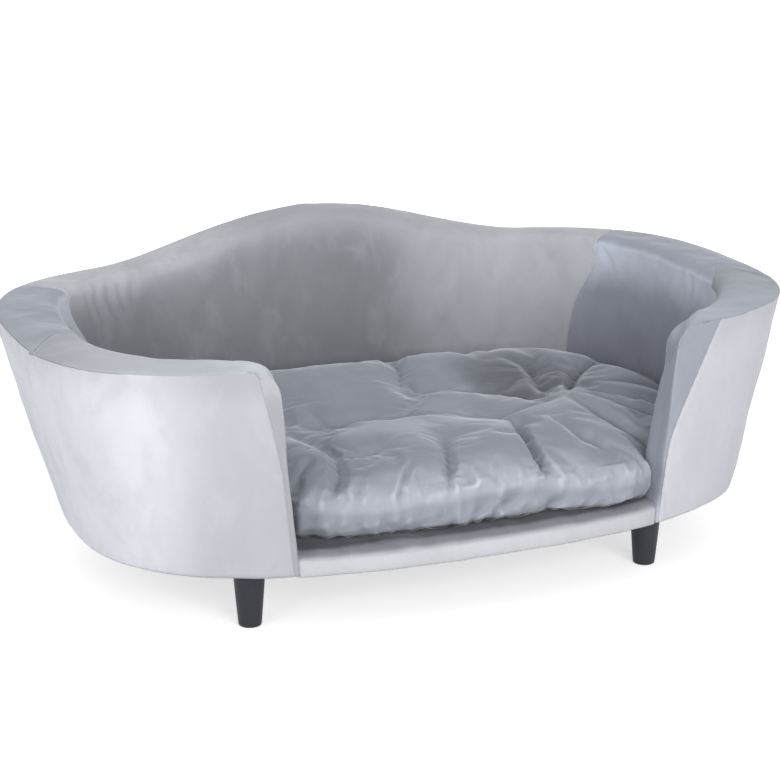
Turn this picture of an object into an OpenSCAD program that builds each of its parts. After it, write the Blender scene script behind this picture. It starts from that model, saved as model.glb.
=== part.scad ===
// Dog sofa bed: a plywood and hardboard tub frame, padded and covered in velvet,
// on four screw-in legs, with a loose zipped cushion.
// Millimetres, +Z up, +X to the sitter's left, +Y to the back. The origin is on the floor,
// under the middle of the whole piece.

/* [Overall] */
// Length over the shoulders of the two arms
overall_w = 970; // [900:1:1040]
// Depth of the wall's outline at the arms' shoulders, as a full oval
arm_oval_d = 588; // [560:1:620]
// Height of the arms above the floor
arm_h = 326; // [300:1:350]
// Rise of the back's hump above the arms
hump_rise = 51; // [0:1:70]
// Half the length of the hump
hump_half_w = 310; // [260:1:340]
// Distance that the arm oval sits behind the base oval
lean_back = 33; // [20:1:45]

/* [Base] */
// Distance that each side leans outward, from the base to its shoulder
side_lean = 60; // [45:1:75]
// Distance that the front and the back spread, from the base to the shoulders
depth_spread = 29; // [18:1:40]
// Height of the base's underside above the floor
leg_h = 85; // [60:1:120]
// Thickness of the whole base from its underside to the deck
base_t = 25; // [24:0.5:30]
// Thickness of the plywood base board
board_t = 15; // [12:0.5:15]
// Gap from the cover's lower edge up to the base board
board_lift = 2; // [1.6:0.1:3]

/* [Front doorway] */
// Half the width of the doorway at the base's underside
door_half_w = 228; // [200:1:250]
// Sideways spread of each arm end, up to its shoulder
door_flare = 22; // [5:1:35]
// Radius of each arm end's top corner
corner_r = 42; // [34:1:50]
// Roundness of the padded edges along the top and the arm ends
edge_r = 12; // [9:0.5:14]

/* [Wall] */
// Wall thickness at the sides, at the deck
side_t_low = 45; // [42:1:55]
// Wall thickness at the sides, at the arms' shoulders
side_t_top = 81; // [65:1:90]
// Wall thickness at the back, at the deck
back_t_low = 45; // [42:1:55]
// Wall thickness at the back, at the arms' shoulders
back_t_top = 60; // [55:1:70]
// Distance from the outer to the inner oval at the front, at the deck
front_t_low = 29; // [28:1:34]
// Distance from the outer to the inner oval at the front, at the arms' shoulders
front_t_top = 34; // [30:1:40]
// Thickness of the velvet cover
cover_t = 1.5; // [1:0.1:1.8]
// Thickness of the wadding under the outer cover
wadding_t = 4; // [3:0.1:5]
// Thickness of the hardboard panels
panel_t = 2.5; // [2:0.1:3]
// Thickness of the foam on the inner face
inner_foam_t = 8; // [6:0.5:9]
// Thickness of the plywood rails and ribs
rail_t = 12; // [9:0.5:15]
// Height of the foam roll over the top rail
roll_t = 22; // [18:1:26]
// Ribs in each half of the wall
ribs_each_side = 5; // [3:1:6]
// Gap left between soft layers
soft_gap = 0.3; // [0.2:0.05:0.4]

/* [Legs] */
// Distance of each leg's axis from the end of the base
leg_in_x = 167; // [155:1:185]
// Distance of each leg's axis from the front or the back of the base
leg_in_y = 102; // [96:1:115]
// Diameter at the top of a leg
leg_top_d = 40; // [36:0.5:44]
// Diameter two thirds of the way up a leg
leg_mid_d = 36; // [32:0.5:38]
// Diameter at the foot of a leg
leg_foot_d = 27; // [26:0.5:32]
// Diameter of the hanger bolts
bolt_d = 8; // [6:0.5:8]
// Length of a hanger bolt inside its leg
bolt_in_leg = 35; // [25:1:38]
// Diameter of the foot glides
glide_d = 21; // [18:0.5:22]
// Thickness of the foot glides
glide_t = 3; // [2.5:0.1:4]

/* [Cushion] */
// Gap between the cushion's seam and the wall, at the sides and the back
cushion_gap = 8; // [7:0.5:20]
// Distance of the cushion's front seam behind the base's front edge
cushion_in = 30; // [27:1:50]
// Height of the perimeter seam above the deck
seam_h = 41; // [34:1:48]
// Height of the plump ring above the perimeter seam
crown_h = 54; // [44:1:62]
// Depth of the sunken middle below the plump ring
sink_h = 26; // [10:1:32]
// Depth of the gathers beside the seam
gather_h = 3; // [1:0.2:4]
// Depth of the broad folds that run to the middle
fold_h = 5; // [2:0.5:7]
// Amount that the seam draws in between the corners
draw_in = 6; // [0:0.5:9]
// Distance that the cushion bulges out through the doorway, at the sitter's left
door_bulge = 27; // [0:1:29]
// Thickness of the cushion's velvet
cushion_cover_t = 1.2; // [0.8:0.1:1.5]
// Length of the zip on the cushion's underside
zip_len = 360; // [300:5:420]
// Distance of the zip from the cushion's back seam
zip_in = 131; // [117:1:147]

/* [Hidden] */

// Colours
velvet = [0.74, 0.75, 0.78];
velvet_deep = [0.62, 0.64, 0.68];
ply = [0.80, 0.66, 0.46];
hardboard = [0.50, 0.36, 0.24];
foam = [0.93, 0.90, 0.78];
steel = [0.70, 0.71, 0.73];
dark = [0.17, 0.17, 0.20];

// Curve fineness of round rigid parts
round_n = 64;
// Overrun of cuts
cut = 1;

// Squareness of the ovals, as superellipse powers
base_round_share = 2.7;
arm_round_share = 3.0;
inner_front_share = 2.5;
inner_back_low_share = 3.0;
inner_back_top_share = 4.0;
// Power that keeps inner and outer points of a wall station abreast
abreast_share = 1.09;
// Power of the padded edge's rounding across the wall
edge_share = 3.2;

// The base oval
base_w = overall_w - 2 * side_lean;
base_d = arm_oval_d - 2 * depth_spread;

// Heights
deck_z = leg_h + base_t;
board_z = leg_h + board_lift;
board_top = board_z + board_t;
hump_top = arm_h + hump_rise;

// The wall's outer oval at height z: half length, half depth, power and centre
shoulder_z = arm_h - edge_r;
function up(z) = (z - leg_h) / (shoulder_z - leg_h);
function mix(a, b, t) = a + (b - a) * t;
function oval_a(z) = mix(base_w, overall_w, up(z)) / 2;
function oval_b(z) = mix(base_d, arm_oval_d, up(z)) / 2;
function oval_n(z) = mix(base_round_share, arm_round_share, up(z));
back_reach = lean_back * up(hump_top - edge_r) + oval_b(hump_top - edge_r);
plan_y = (base_d / 2 - back_reach) / 2;
function oval_y(z) = plan_y + lean_back * up(z);

// The inner oval, whose front and back halves have their own depths
function in_up(z) = (z - deck_z) / (shoulder_z - deck_z);
inner_shift = 6;
function inner_a(z) = oval_a(z) - mix(side_t_low, side_t_top, in_up(z));
function inner_y(z) = plan_y - inner_shift * in_up(z);
function inner_bf(z) = inner_y(z) - (oval_y(z) - oval_b(z)) - mix(front_t_low, front_t_top, in_up(z));
function inner_bb(z) = oval_y(z) + oval_b(z) - mix(back_t_low, back_t_top, in_up(z)) - inner_y(z);
function inner_nb(z) = mix(inner_back_low_share, inner_back_top_share, in_up(z));

// A point of a superellipse at parameter p
function signed_pow(v, e) = sign(v) * pow(abs(v), e);
function outer_pt(p, z) =
    [oval_a(z) * signed_pow(cos(p), 2 / oval_n(z)), oval_y(z) + oval_b(z) * signed_pow(sin(p), 2 / oval_n(z)), z];
function inner_pt(p, z) =
    let (n = p < 0 ? inner_front_share : inner_nb(z), b = p < 0 ? inner_bf(z) : inner_bb(z))
    [inner_a(z) * signed_pow(cos(p), 2 / n), inner_y(z) + b * signed_pow(sin(p), 2 / n), z];

// Parameters of the front points at distance x from the middle
function outer_p(x, z) = -acos(pow(x / oval_a(z), oval_n(z) / 2));
function inner_p(x, z) = -acos(pow(x / inner_a(z), inner_front_share / 2));
function door_x(z) = door_half_w + door_flare * up(z);

// Wall stations w run from 0 at the arm's end to 1 past the rounded corner, and to 2 at the
// middle of the back. The right half has side 1 and the left half side -1.
function outer_w(w, z) = w <= 1 ? outer_p(door_x(z) + w * corner_r, z)
    : mix(outer_p(door_x(z) + corner_r, z), 90, w - 1);
function inner_w(w, z) = w <= 1 ? inner_p(door_x(z) + w * corner_r, z)
    : mix(inner_p(door_x(z) + corner_r, z), 90, pow(w - 1, abreast_share));
function flip(p, side) = [side * p[0], p[1], p[2]];
// The point at a depth from the outer face, or from the inner face where it is negative
function wall_t(w, z) = norm(inner_pt(inner_w(w, z), z) - outer_pt(outer_w(w, z), z));
function across(w, z, share) =
    let (o = outer_pt(outer_w(w, z), z), i = inner_pt(inner_w(w, z), z)) o + (i - o) * share;
function at_depth(w, z, d) = across(w, z, d / wall_t(w, z));
function from_inside(w, z, d) = across(w, z, 1 - d / wall_t(w, z));

// Height of the top over a station: the arm height, with the hump along the back
function hump(x) = abs(x) < hump_half_w ? hump_rise * (1 + cos(180 * x / hump_half_w)) / 2 : 0;
function station_x(w) = abs(outer_pt(outer_w(w, arm_h), arm_h)[0]);
function top_z(w) = arm_h + (w > 1 && outer_w(w, arm_h) > 0 ? hump(station_x(w)) : 0);
// Height at which an edge turns over, set in from the arm's end and g down from the top
function edge_z(w, g) = top_z(w) - corner_r + (corner_r - g)
    * (w < 1 ? sqrt(max(1 - pow(corner_r * (1 - w) / (corner_r - edge_r), 2), 0)) : 1);

// Stations of one half, from a start to the middle of the back
corner_steps = 5;
side_steps = 7;
back_steps = 12;
start_p = outer_w(1, arm_h);
function back_p(k) = acos(pow(cos(90 * k / back_steps), arm_round_share / 2));
end_w = edge_r / corner_r;
corner_ws = [for (k = [0 : corner_steps - 1]) end_w + (1 - end_w) * (1 - cos(90 * k / corner_steps))];
side_ws = [for (k = [0 : side_steps - 1]) 1 - start_p * (k / side_steps) / (90 - start_p)];
back_ws = [for (k = [0 : back_steps]) 1 + (back_p(k) - start_p) / (90 - start_p)];
body_ws = concat(side_ws, back_ws);
half_ws = concat(corner_ws, body_ws);
// Signed stations of the whole wall, right arm to left arm
function whole(ws) = concat([for (w = ws) [w, 1]], [for (k = [len(ws) - 2 : -1 : 0]) [ws[k], -1]]);

// Seams between covers, as stations
cap_seam_step = 5;
side_seam_step = 4;
cap_w = side_ws[cap_seam_step];
side_w = back_ws[side_seam_step];
function between(ws, w0, w1) = [for (w = ws) if (w >= w0 && w <= w1) w];

// A closed solid between two grids of points with the same rows and columns
module slab(outside, inside) {
    rows = len(outside);
    cols = len(outside[0]);
    count = rows * cols;
    points = concat([for (row = outside) each row], [for (row = inside) each row]);
    function at(layer, r, c) = layer * count + r * cols + c;
    // The faces are turned over where the outside grid would otherwise face inwards
    mid_r = floor((rows - 1) / 2);
    mid_c = floor((cols - 1) / 2);
    here = outside[mid_r][mid_c];
    inwards = cross(outside[mid_r][mid_c + 1] - here, outside[mid_r + 1][mid_c + 1] - here)
        * (here - inside[mid_r][mid_c]) < 0;
    // A bent face is split along its outward ridge, on both layers
    function ridge(g, r, c) = (cross(g[r][c + 1] - g[r][c], g[r + 1][c + 1] - g[r][c])
        * (g[r + 1][c] - g[r][c]) < 0) != inwards;
    function split(a, b, c, d, first) = first ? [[a, b, c], [a, c, d]] : [[a, b, d], [b, c, d]];
    faces = concat(
        [for (r = [0 : rows - 2], c = [0 : cols - 2])
            each concat(
                split(at(0, r, c), at(0, r, c + 1), at(0, r + 1, c + 1), at(0, r + 1, c),
                    ridge(outside, r, c)),
                [for (f = split(at(1, r, c), at(1, r, c + 1), at(1, r + 1, c + 1), at(1, r + 1, c),
                    ridge(inside, r, c))) [f[2], f[1], f[0]]])],
        [for (r = [0 : rows - 2])
            each [[at(0, r, 0), at(0, r + 1, 0), at(1, r + 1, 0)],
                [at(0, r, 0), at(1, r + 1, 0), at(1, r, 0)],
                [at(0, r, cols - 1), at(1, r + 1, cols - 1), at(0, r + 1, cols - 1)],
                [at(0, r, cols - 1), at(1, r, cols - 1), at(1, r + 1, cols - 1)]]],
        [for (c = [0 : cols - 2])
            each [[at(0, 0, c), at(1, 0, c), at(1, 0, c + 1)],
                [at(0, 0, c), at(1, 0, c + 1), at(0, 0, c + 1)],
                [at(0, rows - 1, c), at(1, rows - 1, c + 1), at(1, rows - 1, c)],
                [at(0, rows - 1, c), at(0, rows - 1, c + 1), at(1, rows - 1, c + 1)]]]);
    polyhedron(points, inwards ? faces : [for (f = faces) [f[2], f[1], f[0]]], convexity = 6);
}

// A closed solid between an upper and a lower set of rings that share their edge's plan
module disc(upper, lower) {
    n = len(upper[0]);
    rings = len(upper);
    count = n * rings + 1;
    function mean(ring) = [for (k = [0 : 2]) [for (p = ring) p[k]] * [for (p = ring) 1] / n];
    points = concat([for (ring = upper) each ring], [mean(upper[rings - 1])],
        [for (ring = lower) each ring], [mean(lower[rings - 1])]);
    function at(layer, r, c) = layer * count + r * n + c % n;
    hub = n * rings;
    faces = concat(
        [for (r = [0 : rings - 2], c = [0 : n - 1])
            each [[at(0, r, c), at(0, r + 1, c + 1), at(0, r, c + 1)],
                [at(0, r, c), at(0, r + 1, c), at(0, r + 1, c + 1)],
                [at(1, r, c), at(1, r, c + 1), at(1, r + 1, c + 1)],
                [at(1, r, c), at(1, r + 1, c + 1), at(1, r + 1, c)]]],
        [for (c = [0 : n - 1])
            each [[at(0, rings - 1, c), hub, at(0, rings - 1, c + 1)],
                [at(1, rings - 1, c), at(1, rings - 1, c + 1), count + hub],
                [at(0, 0, c), at(0, 0, c + 1), at(1, 0, c + 1)],
                [at(0, 0, c), at(1, 0, c + 1), at(1, 0, c)]]]);
    polyhedron(points, faces, convexity = 6);
}

// Depths of the wall's layers, from the outer face inwards
wadding_d = cover_t + soft_gap;
panel_d = wadding_d + wadding_t + soft_gap;
frame_d = panel_d + panel_t + soft_gap;
// Depths of the wall's layers behind the inner face
inner_foam_d = cover_t + soft_gap;
inner_panel_d = inner_foam_d + inner_foam_t + soft_gap;
inner_frame_d = inner_panel_d + panel_t + soft_gap;

// Points up the wall at each signed station, from a low height to g under the top. The levels
// between those ends are the same in every layer.
wall_rows = 4;
function level(w, low, g, k) = k == 0 ? low : k == wall_rows ? edge_z(w, g)
    : mix(deck_z, edge_z(w, edge_r), k / wall_rows);
function column(ws, low, g, d, inside) =
    [for (s = ws) [for (k = [0 : wall_rows]) let (z = level(s[0], low, g, k))
        flip(inside ? from_inside(s[0], z, d) : at_depth(s[0], z, d), s[1])]];

// A layer of the wall's outer side, from depth d0 to d1
module outer_layer(ws, low, g, d0, d1) {
    slab(column(ws, low, g, d0, false), column(ws, low, g, d1, false));
}

// A layer of the wall's inner side, from depth d0 to d1 behind the inner face
module inner_layer(ws, low, g, d0, d1) {
    slab(column(ws, low, g, d1, true), column(ws, low, g, d0, true));
}

// A point of the padded top at station w and share q across it, e under the surface
top_cols = 7;
function round_share(q) = (1 - cos(180 * q)) / 2;
function swell(s) = sqrt(max(1 - pow(abs(2 * s - 1), edge_share), 0));
function top_pt(w, q, e) =
    let (s = round_share(q), low = top_z(w) - edge_r, t = wall_t(w, low), z = low + (edge_r - e) * swell(s))
    across(w, z, (e + (t - 2 * e) * s) / t);
// The whole skin over the top and down the inner face, e under the surface
function skin(w, low, e) = concat(
    [for (k = [0 : top_cols]) top_pt(w, k / top_cols, e)],
    [for (k = [1 : wall_rows]) from_inside(w, level(w, low, edge_r, wall_rows - k), e)]);
function skins(ws, low, e) = [for (s = ws) [for (p = skin(s[0], low, e)) flip(p, s[1])]];

// A point of the padded arm end: k counts its stations up the end and round the corner
end_rows = 6;
end_low = deck_z + soft_gap;
function end_pt(k, q, e, share0) =
    let (s = share0 + (1 - 2 * share0) * round_share(q), inset = edge_r - (edge_r - e) * swell(s),
        turn = max(k - end_rows, 0) * 90 / corner_steps, mid = arm_h - corner_r,
        z = k <= end_rows ? mix(end_low, mid, k / end_rows) : mid + (corner_r - inset) * sin(turn),
        w = 1 - (corner_r - inset) * cos(turn) / corner_r, t = wall_t(w, z))
    across(w, z, (e + (t - 2 * e) * s) / t);
end_stations = end_rows + corner_steps;

// Half outlines of the flat pieces: front points across the doorway, then wall points
door_cols = 10;
function front_row(x_end, z, d) =
    [for (k = [0 : door_cols]) let (x = x_end * k / door_cols, p = outer_pt(outer_p(x, z), z)) [x, p[1] + d]];
function plan(p) = [p[0], p[1]];
function both_sides(half) =
    concat(half, [for (k = [len(half) - 1 : -1 : 1]) if (half[k][0] > 0) [-half[k][0], half[k][1]]]);
// Distance that the front edge moves back over the board's thickness, where the wall leans in
function front_y(z) = oval_y(z) - oval_b(z);
board_back = max(front_y(board_top) - front_y(board_z) - soft_gap, 0);
function base_outline(z, d) = both_sides(concat(front_row(door_x(z), z, d),
    [for (w = half_ws) plan(at_depth(w, z, d))]));
function deck_outline(d) = let (z = board_top, x_end = door_x(z) - soft_gap)
    both_sides(concat(front_row(x_end, z, d), [[x_end, inner_pt(inner_p(x_end, z), z)[1] + soft_gap]],
        [for (w = half_ws) plan(from_inside(w, z, -soft_gap))]));

module base_board() {
    color(ply)
        difference() {
            translate([0, 0, board_z])
                linear_extrude(board_t)
                    polygon(base_outline(board_z, frame_d + board_back));
            at_legs() {
                translate([0, 0, board_z - cut])
                    cylinder(h = board_t + 2 * cut, r = nut_r + nut_gap, $fn = round_n);
                translate([0, 0, board_top - nut_flange_t])
                    cylinder(h = nut_flange_t + cut, r = nut_flange_r + nut_gap, $fn = round_n);
            }
        }
}

// The deck's foam and cover lie between the inner covers and reach the front edge
deck_cover_low = deck_z - cover_t;
deck_foam_low = board_top + soft_gap;
deck_foam_t = deck_cover_low - soft_gap - deck_foam_low;

module deck_foam() {
    color(foam)
        translate([0, 0, deck_foam_low])
            linear_extrude(deck_foam_t)
                polygon(deck_outline(frame_d));
}

// Points along the front band, at depth d
function band_x(z) = door_x(z) + edge_r - soft_gap;
band_cols = 10;
function band(low, high, d) = [for (k = [-band_cols : band_cols]) [for (z = [low, high])
    let (x = band_x(z) * k / band_cols, p = outer_pt(outer_p(abs(x), z), z)) [x, p[1] + d, z]]];

module deck_cover() {
    color(velvet) {
        translate([0, 0, deck_cover_low])
            linear_extrude(cover_t)
                polygon(deck_outline(cover_t / 2));
        slab(band(leg_h, deck_z, cover_t), band(leg_h, deck_z, 0));
    }
}

module front_padding() {
    color(foam)
        slab(band(board_z, deck_cover_low - soft_gap, frame_d - soft_gap),
            band(board_z, deck_cover_low - soft_gap, wadding_d));
}

dust_t = 0.6;
leg_hole_gap = 1.5;
module dust_cover() {
    color(dark)
        translate([0, 0, board_z - dust_t])
            linear_extrude(dust_t)
                difference() {
                    polygon(base_outline(leg_h, wadding_d));
                    for (x = [-leg_x, leg_x], y = [-leg_y, leg_y])
                        translate([x, plan_y + y])
                            circle(r = leg_top_d / 2 + leg_hole_gap, $fn = round_n);
                }
}

// Legs, with a hanger bolt in the top and a glide in the foot
leg_x = base_w / 2 - leg_in_x;
leg_y = base_d / 2 - leg_in_y;
foot_lift = 1;
glide_gap = 0.1;
bolt_gap = 0.05;
bore_spare = 2;
leg_mid_share = 0.65;
leg_steps = 8;
foot_chamfer = 0.8;
module at_leg(x, y) {
    translate([x, plan_y + y, 0])
        children();
}
module at_legs() {
    for (x = [-leg_x, leg_x], y = [-leg_y, leg_y])
        at_leg(x, y)
            children();
}
// Radius at a share of the leg's height, through the foot, the swell and the top
function leg_r(t) = let (m = leg_mid_share)
    (leg_foot_d * (t - m) * (t - 1) / m + leg_mid_d * t * (t - 1) / (m * (m - 1))
        + leg_top_d * t * (t - m) / (1 - m)) / 2;
module leg() {
    tall = board_z - foot_lift;
    recess_r = glide_d / 2 + glide_gap;
    bore_r = bolt_d / 2 + bolt_gap;
    bore_z = board_z - bolt_in_leg - bore_spare;
    color(dark)
        rotate_extrude($fn = round_n)
            polygon(concat([[0, glide_t], [recess_r, glide_t], [recess_r, foot_lift],
                [leg_r(0) - foot_chamfer, foot_lift], [leg_r(0), foot_lift + foot_chamfer]],
                [for (k = [1 : leg_steps]) [leg_r(k / leg_steps), foot_lift + tall * k / leg_steps]],
                [[bore_r, board_z], [bore_r, bore_z], [0, bore_z]]));
}
module leg_front_left() { at_leg(leg_x, -leg_y) leg(); }
module leg_front_right() { at_leg(-leg_x, -leg_y) leg(); }
module leg_rear_left() { at_leg(leg_x, leg_y) leg(); }
module leg_rear_right() { at_leg(-leg_x, leg_y) leg(); }

bolt_chamfer = 0.8;
bolt_short = 2;
module leg_bolts() {
    low = board_z - bolt_in_leg;
    high = board_top - bolt_short;
    r = bolt_d / 2;
    color(steel)
        at_legs()
            rotate_extrude($fn = round_n)
                polygon([[0, low], [r - bolt_chamfer, low], [r, low + bolt_chamfer],
                    [r, high - bolt_chamfer], [r - bolt_chamfer, high], [0, high]]);
}

// Tee nuts, let into the board's upper side
nut_wall = 1.2;
nut_r = bolt_d / 2 + bolt_gap + nut_wall;
nut_flange_r = 11;
nut_flange_t = 1.6;
nut_barrel = 9;
nut_gap = 0.1;
module tee_nuts() {
    bore_r = bolt_d / 2 + bolt_gap;
    low = board_top - nut_barrel;
    color(steel)
        at_legs()
            rotate_extrude($fn = round_n)
                polygon([[bore_r, low], [nut_r, low], [nut_r, board_top - nut_flange_t],
                    [nut_flange_r, board_top - nut_flange_t], [nut_flange_r, board_top], [bore_r, board_top]]);
}

module foot_glides() {
    color(dark)
        at_legs()
            cylinder(h = glide_t, d = glide_d, $fn = round_n);
}

// Frame: ribs at chosen stations, which carry a level rail and the crest of the hump
rail_top = arm_h - roll_t;
rail_low = rail_top - rail_t;
post_steps = [2, 3, 4];
rail_in = 21;
last = len(body_ws) - 1;
rib_picks = [for (k = [1 : ribs_each_side]) floor(k * (last - 1) / ribs_each_side)];
// Corners of a rib: along the flats of the panels beside its station
function rib_row(i, side, z) =
    let (here = body_ws[i], before = body_ws[i - 1], after = i < last ? body_ws[i + 1] : before,
        turn = i < last ? 1 : -1)
    [for (d = [[frame_d, false], [inner_frame_d, true]])
        let (f = function (w) d[1] ? from_inside(w, z, d[0]) : at_depth(w, z, d[0]),
            a = f(before), b = f(here), c = flip(f(after), turn),
            u = rail_t / 2 / norm(b - a), v = rail_t / 2 / norm(c - b))
        [for (p = [b + (a - b) * u, b, b + (c - b) * v]) flip(p, side)]];
module rib(i, side) {
    levels = [for (k = [0 : 2]) rib_row(i, side, mix(board_top, rail_low, k / 2))];
    slab([for (c = [0 : 2]) [for (l = levels) l[0][c]]], [for (c = [0 : 2]) [for (l = levels) l[1][c]]]);
}
module frame_ribs() {
    color(ply) {
        rib(last, 1);
        for (i = rib_picks, side = [-1, 1])
            rib(i, side);
    }
}

function post_pts(side, d, inside) = [for (i = post_steps) [for (k = [0 : wall_rows])
    let (w = corner_ws[i], z = mix(board_top, rail_low, k / wall_rows))
    flip(inside ? from_inside(w, z, d) : at_depth(w, z, d), side)]];
// The rail's ends are trimmed round under the foam of the arms' corners
rail_trim = 0.8;
rail_steps = 3;
function rail_high(w) = min(rail_top, arm_h - corner_r - rail_trim + (corner_r - roll_t + soft_gap)
    * sqrt(max(1 - pow(corner_r * (1 - min(w, 1)) / (corner_r - edge_r + soft_gap), 2), 0)));
rail_ws = concat([for (k = [0 : rail_steps - 1]) mix(rail_in / corner_r, 1, k / rail_steps)], body_ws);
function rail_pts(d, inside) = [for (s = whole(rail_ws)) [for (z = [rail_low, rail_high(s[0])])
    flip(inside ? from_inside(s[0], z, d) : at_depth(s[0], z, d), s[1])]];
module top_rail() {
    color(ply)
        slab(rail_pts(frame_d, false), rail_pts(inner_frame_d, true));
}

// The crest stands on the rail at mid thickness, under the hump's foam
crest_in = 60;
crest_step_share = 0.001;
crest_p = acos(pow((hump_half_w - crest_in) / oval_a(arm_h), oval_n(arm_h) / 2));
crest_end = 1 + (crest_p - start_p) / (90 - start_p);
crest_ws = concat([crest_end], [for (w = back_ws) if (w > crest_end + crest_step_share) w]);
function crest_pts(turn) = [for (s = whole(crest_ws)) [for (z = [rail_top, top_z(s[0]) - roll_t])
    let (t = wall_t(s[0], z)) flip(at_depth(s[0], z, t / 2 + turn * rail_t / 2), s[1])]];
module crest_rail() {
    color(ply)
        slab(crest_pts(-1), crest_pts(1));
}

module end_post(side) {
    color(ply)
        slab(post_pts(side, frame_d, false), post_pts(side, inner_frame_d, true));
}
module end_post_left() { end_post(1); }
module end_post_right() { end_post(-1); }

module outer_panel() {
    color(hardboard)
        outer_layer(whole(half_ws), board_z, roll_t, panel_d, panel_d + panel_t);
}
module inner_panel() {
    color(hardboard)
        inner_layer(whole(half_ws), board_top, roll_t, inner_panel_d, inner_panel_d + panel_t);
}
module outer_wadding() {
    color(foam)
        outer_layer(whole(half_ws), board_z, roll_t, wadding_d, wadding_d + wadding_t);
}

// Signed stations of one side, between two stations
function one_side(w0, w1, side) = [for (w = between(half_ws, w0, w1)) [w, side]];
back_half_ws = between(half_ws, side_w, 2);
module inner_foam(ws) {
    color(foam)
        inner_layer(ws, board_top + soft_gap, roll_t, inner_foam_d, inner_foam_d + inner_foam_t);
}
module inner_foam_left() { inner_foam(one_side(0, side_w, 1)); }
module inner_foam_back() { inner_foam(whole(back_half_ws)); }
module inner_foam_right() { inner_foam(one_side(0, side_w, -1)); }

// The foam roll over the top of the wall
module roll_foam(ws) {
    e = cover_t + soft_gap;
    function low(w) = top_z(w) - roll_t + soft_gap;
    color(foam)
        slab([for (s = ws) [for (k = [0 : top_cols]) flip(top_pt(s[0], k / top_cols, e), s[1])]],
            [for (s = ws) let (t = wall_t(s[0], low(s[0]))) [for (k = [0 : top_cols])
                flip(across(s[0], low(s[0]), (e + (t - 2 * e) * round_share(k / top_cols)) / t), s[1])]]);
}
module roll_foam_left() { roll_foam(one_side(1, side_w, 1)); }
module roll_foam_back() { roll_foam(whole(back_half_ws)); }
module roll_foam_right() { roll_foam(one_side(1, side_w, -1)); }

// Foam round the arm's end and corner, within the cap
end_side_share = 0.05;
end_ease = 0.8;
module end_foam(side) {
    e = cover_t + end_ease;
    in_x = corner_r - edge_r + soft_gap;
    in_z = corner_r - roll_t + soft_gap;
    function seat(k, q) =
        let (s = end_side_share + (1 - 2 * end_side_share) * round_share(q),
            turn = max(k - end_rows, 0) * 90 / corner_steps, mid = arm_h - corner_r,
            z = k <= end_rows ? mix(end_low, mid, k / end_rows) : mid + in_z * sin(turn),
            w = 1 - in_x * cos(turn) / corner_r, t = wall_t(w, z))
        across(w, z, (e + (t - 2 * e) * s) / t);
    color(foam)
        slab([for (k = [0 : end_stations - 1]) [for (c = [0 : top_cols])
                flip(end_pt(k, c / top_cols, e, end_side_share), side)]],
            [for (k = [0 : end_stations - 1]) [for (c = [0 : top_cols]) flip(seat(k, c / top_cols), side)]]);
}
module end_foam_left() { end_foam(1); }
module end_foam_right() { end_foam(-1); }

module outer_cover() {
    color(velvet)
        outer_layer(whole(half_ws), leg_h, edge_r, 0, cover_t);
}

// The cap runs up the arm's end, over its corner and back along the top to a seam
function cap_rows(e, side) = concat(
    [for (k = [0 : end_stations - 1]) [for (c = [0 : top_cols]) flip(end_pt(k, c / top_cols, e, 0), side)]],
    [for (w = between(body_ws, 1, cap_w)) [for (c = [0 : top_cols]) flip(top_pt(w, c / top_cols, e), side)]]);
module arm_cap(side) {
    color(velvet)
        slab(cap_rows(0, side), cap_rows(cover_t, side));
}
module arm_cap_left() { arm_cap(1); }
module arm_cap_right() { arm_cap(-1); }

module side_cover(side) {
    low = board_top + soft_gap;
    color(velvet_deep) {
        slab(skins(one_side(cap_w, side_w, side), low, 0), skins(one_side(cap_w, side_w, side), low, cover_t));
        inner_layer(one_side(0, cap_w, side), low, edge_r, 0, cover_t);
    }
}
module side_cover_left() { side_cover(1); }
module side_cover_right() { side_cover(-1); }

module back_cover() {
    low = board_top + soft_gap;
    color(velvet_deep)
        slab(skins(whole(back_half_ws), low, 0), skins(whole(back_half_ws), low, cover_t));
}

// Cushion: an oval with a plump ring, a sunken middle and gathers along its seam
cushion_front_share = 2.2;
cushion_back_share = 3.0;
cushion_cols = 64;
gathers = 16;
folds = 7;
fold_turn = 25;
fold_share = 0.62;
fold_spread_share = 0.3;
gather_share = 0.93;
gather_spread_share = 0.06;
ring_shares = [1, 0.985, 0.95, 0.89, 0.8, 0.68, 0.52, 0.34, 0.16];
flat_share = 0.86;
belly_share = 2.1;
crown_share = 4.5;
bulge_start_share = 0.32;
bulge_full_share = 0.81;
bulge_end_share = 0.87;
bulge_gap = 5;
sink_share = 0.82;
sink_power_share = 1.6;
cushion_low = deck_z + soft_gap;
seam_z = deck_z + seam_h;
cushion_w = 2 * (inner_a(seam_z) - cushion_gap);
cushion_front = base_d / 2 - cushion_in;
cushion_back = inner_y(seam_z) + inner_bb(seam_z) - plan_y - cushion_gap;
zip_y = cushion_back - zip_in;
// The bulge grows towards the arm's end and falls off beside it
function ease(t) = let (u = min(max(t, 0), 1)) u * u * (3 - 2 * u);
function part_way(x, x0, x1) = (x - x0) / (x1 - x0);
function bulge(x) = let (end = door_x(seam_z), out = end - bulge_gap)
    door_bulge * ease(part_way(x, end * bulge_start_share, end * bulge_full_share))
        * (1 - ease(part_way(x, end * bulge_end_share, out)));
function rim(a) = let (front = sin(a) < 0, n = front ? cushion_front_share : cushion_back_share,
        b = front ? cushion_front : cushion_back, pull = 1 - draw_in * pow(cos(2 * a), 2)
            * (front ? pow(cos(a), 2) : 1) / (cushion_w / 2),
        x = pull * cushion_w / 2 * signed_pow(cos(a), 2 / n))
    [x, pull * b * signed_pow(sin(a), 2 / n) - (front ? bulge(x) : 0)];
function crown(t) = crown_h * sqrt(1 - pow(t, crown_share))
    - sink_h * pow(max(1 - pow(t / sink_share, 2), 0), sink_power_share);
function bell(t, middle, spread) = exp(-pow((t - middle) / spread, 2)) * min((1 - t) / spread, 1);
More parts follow.
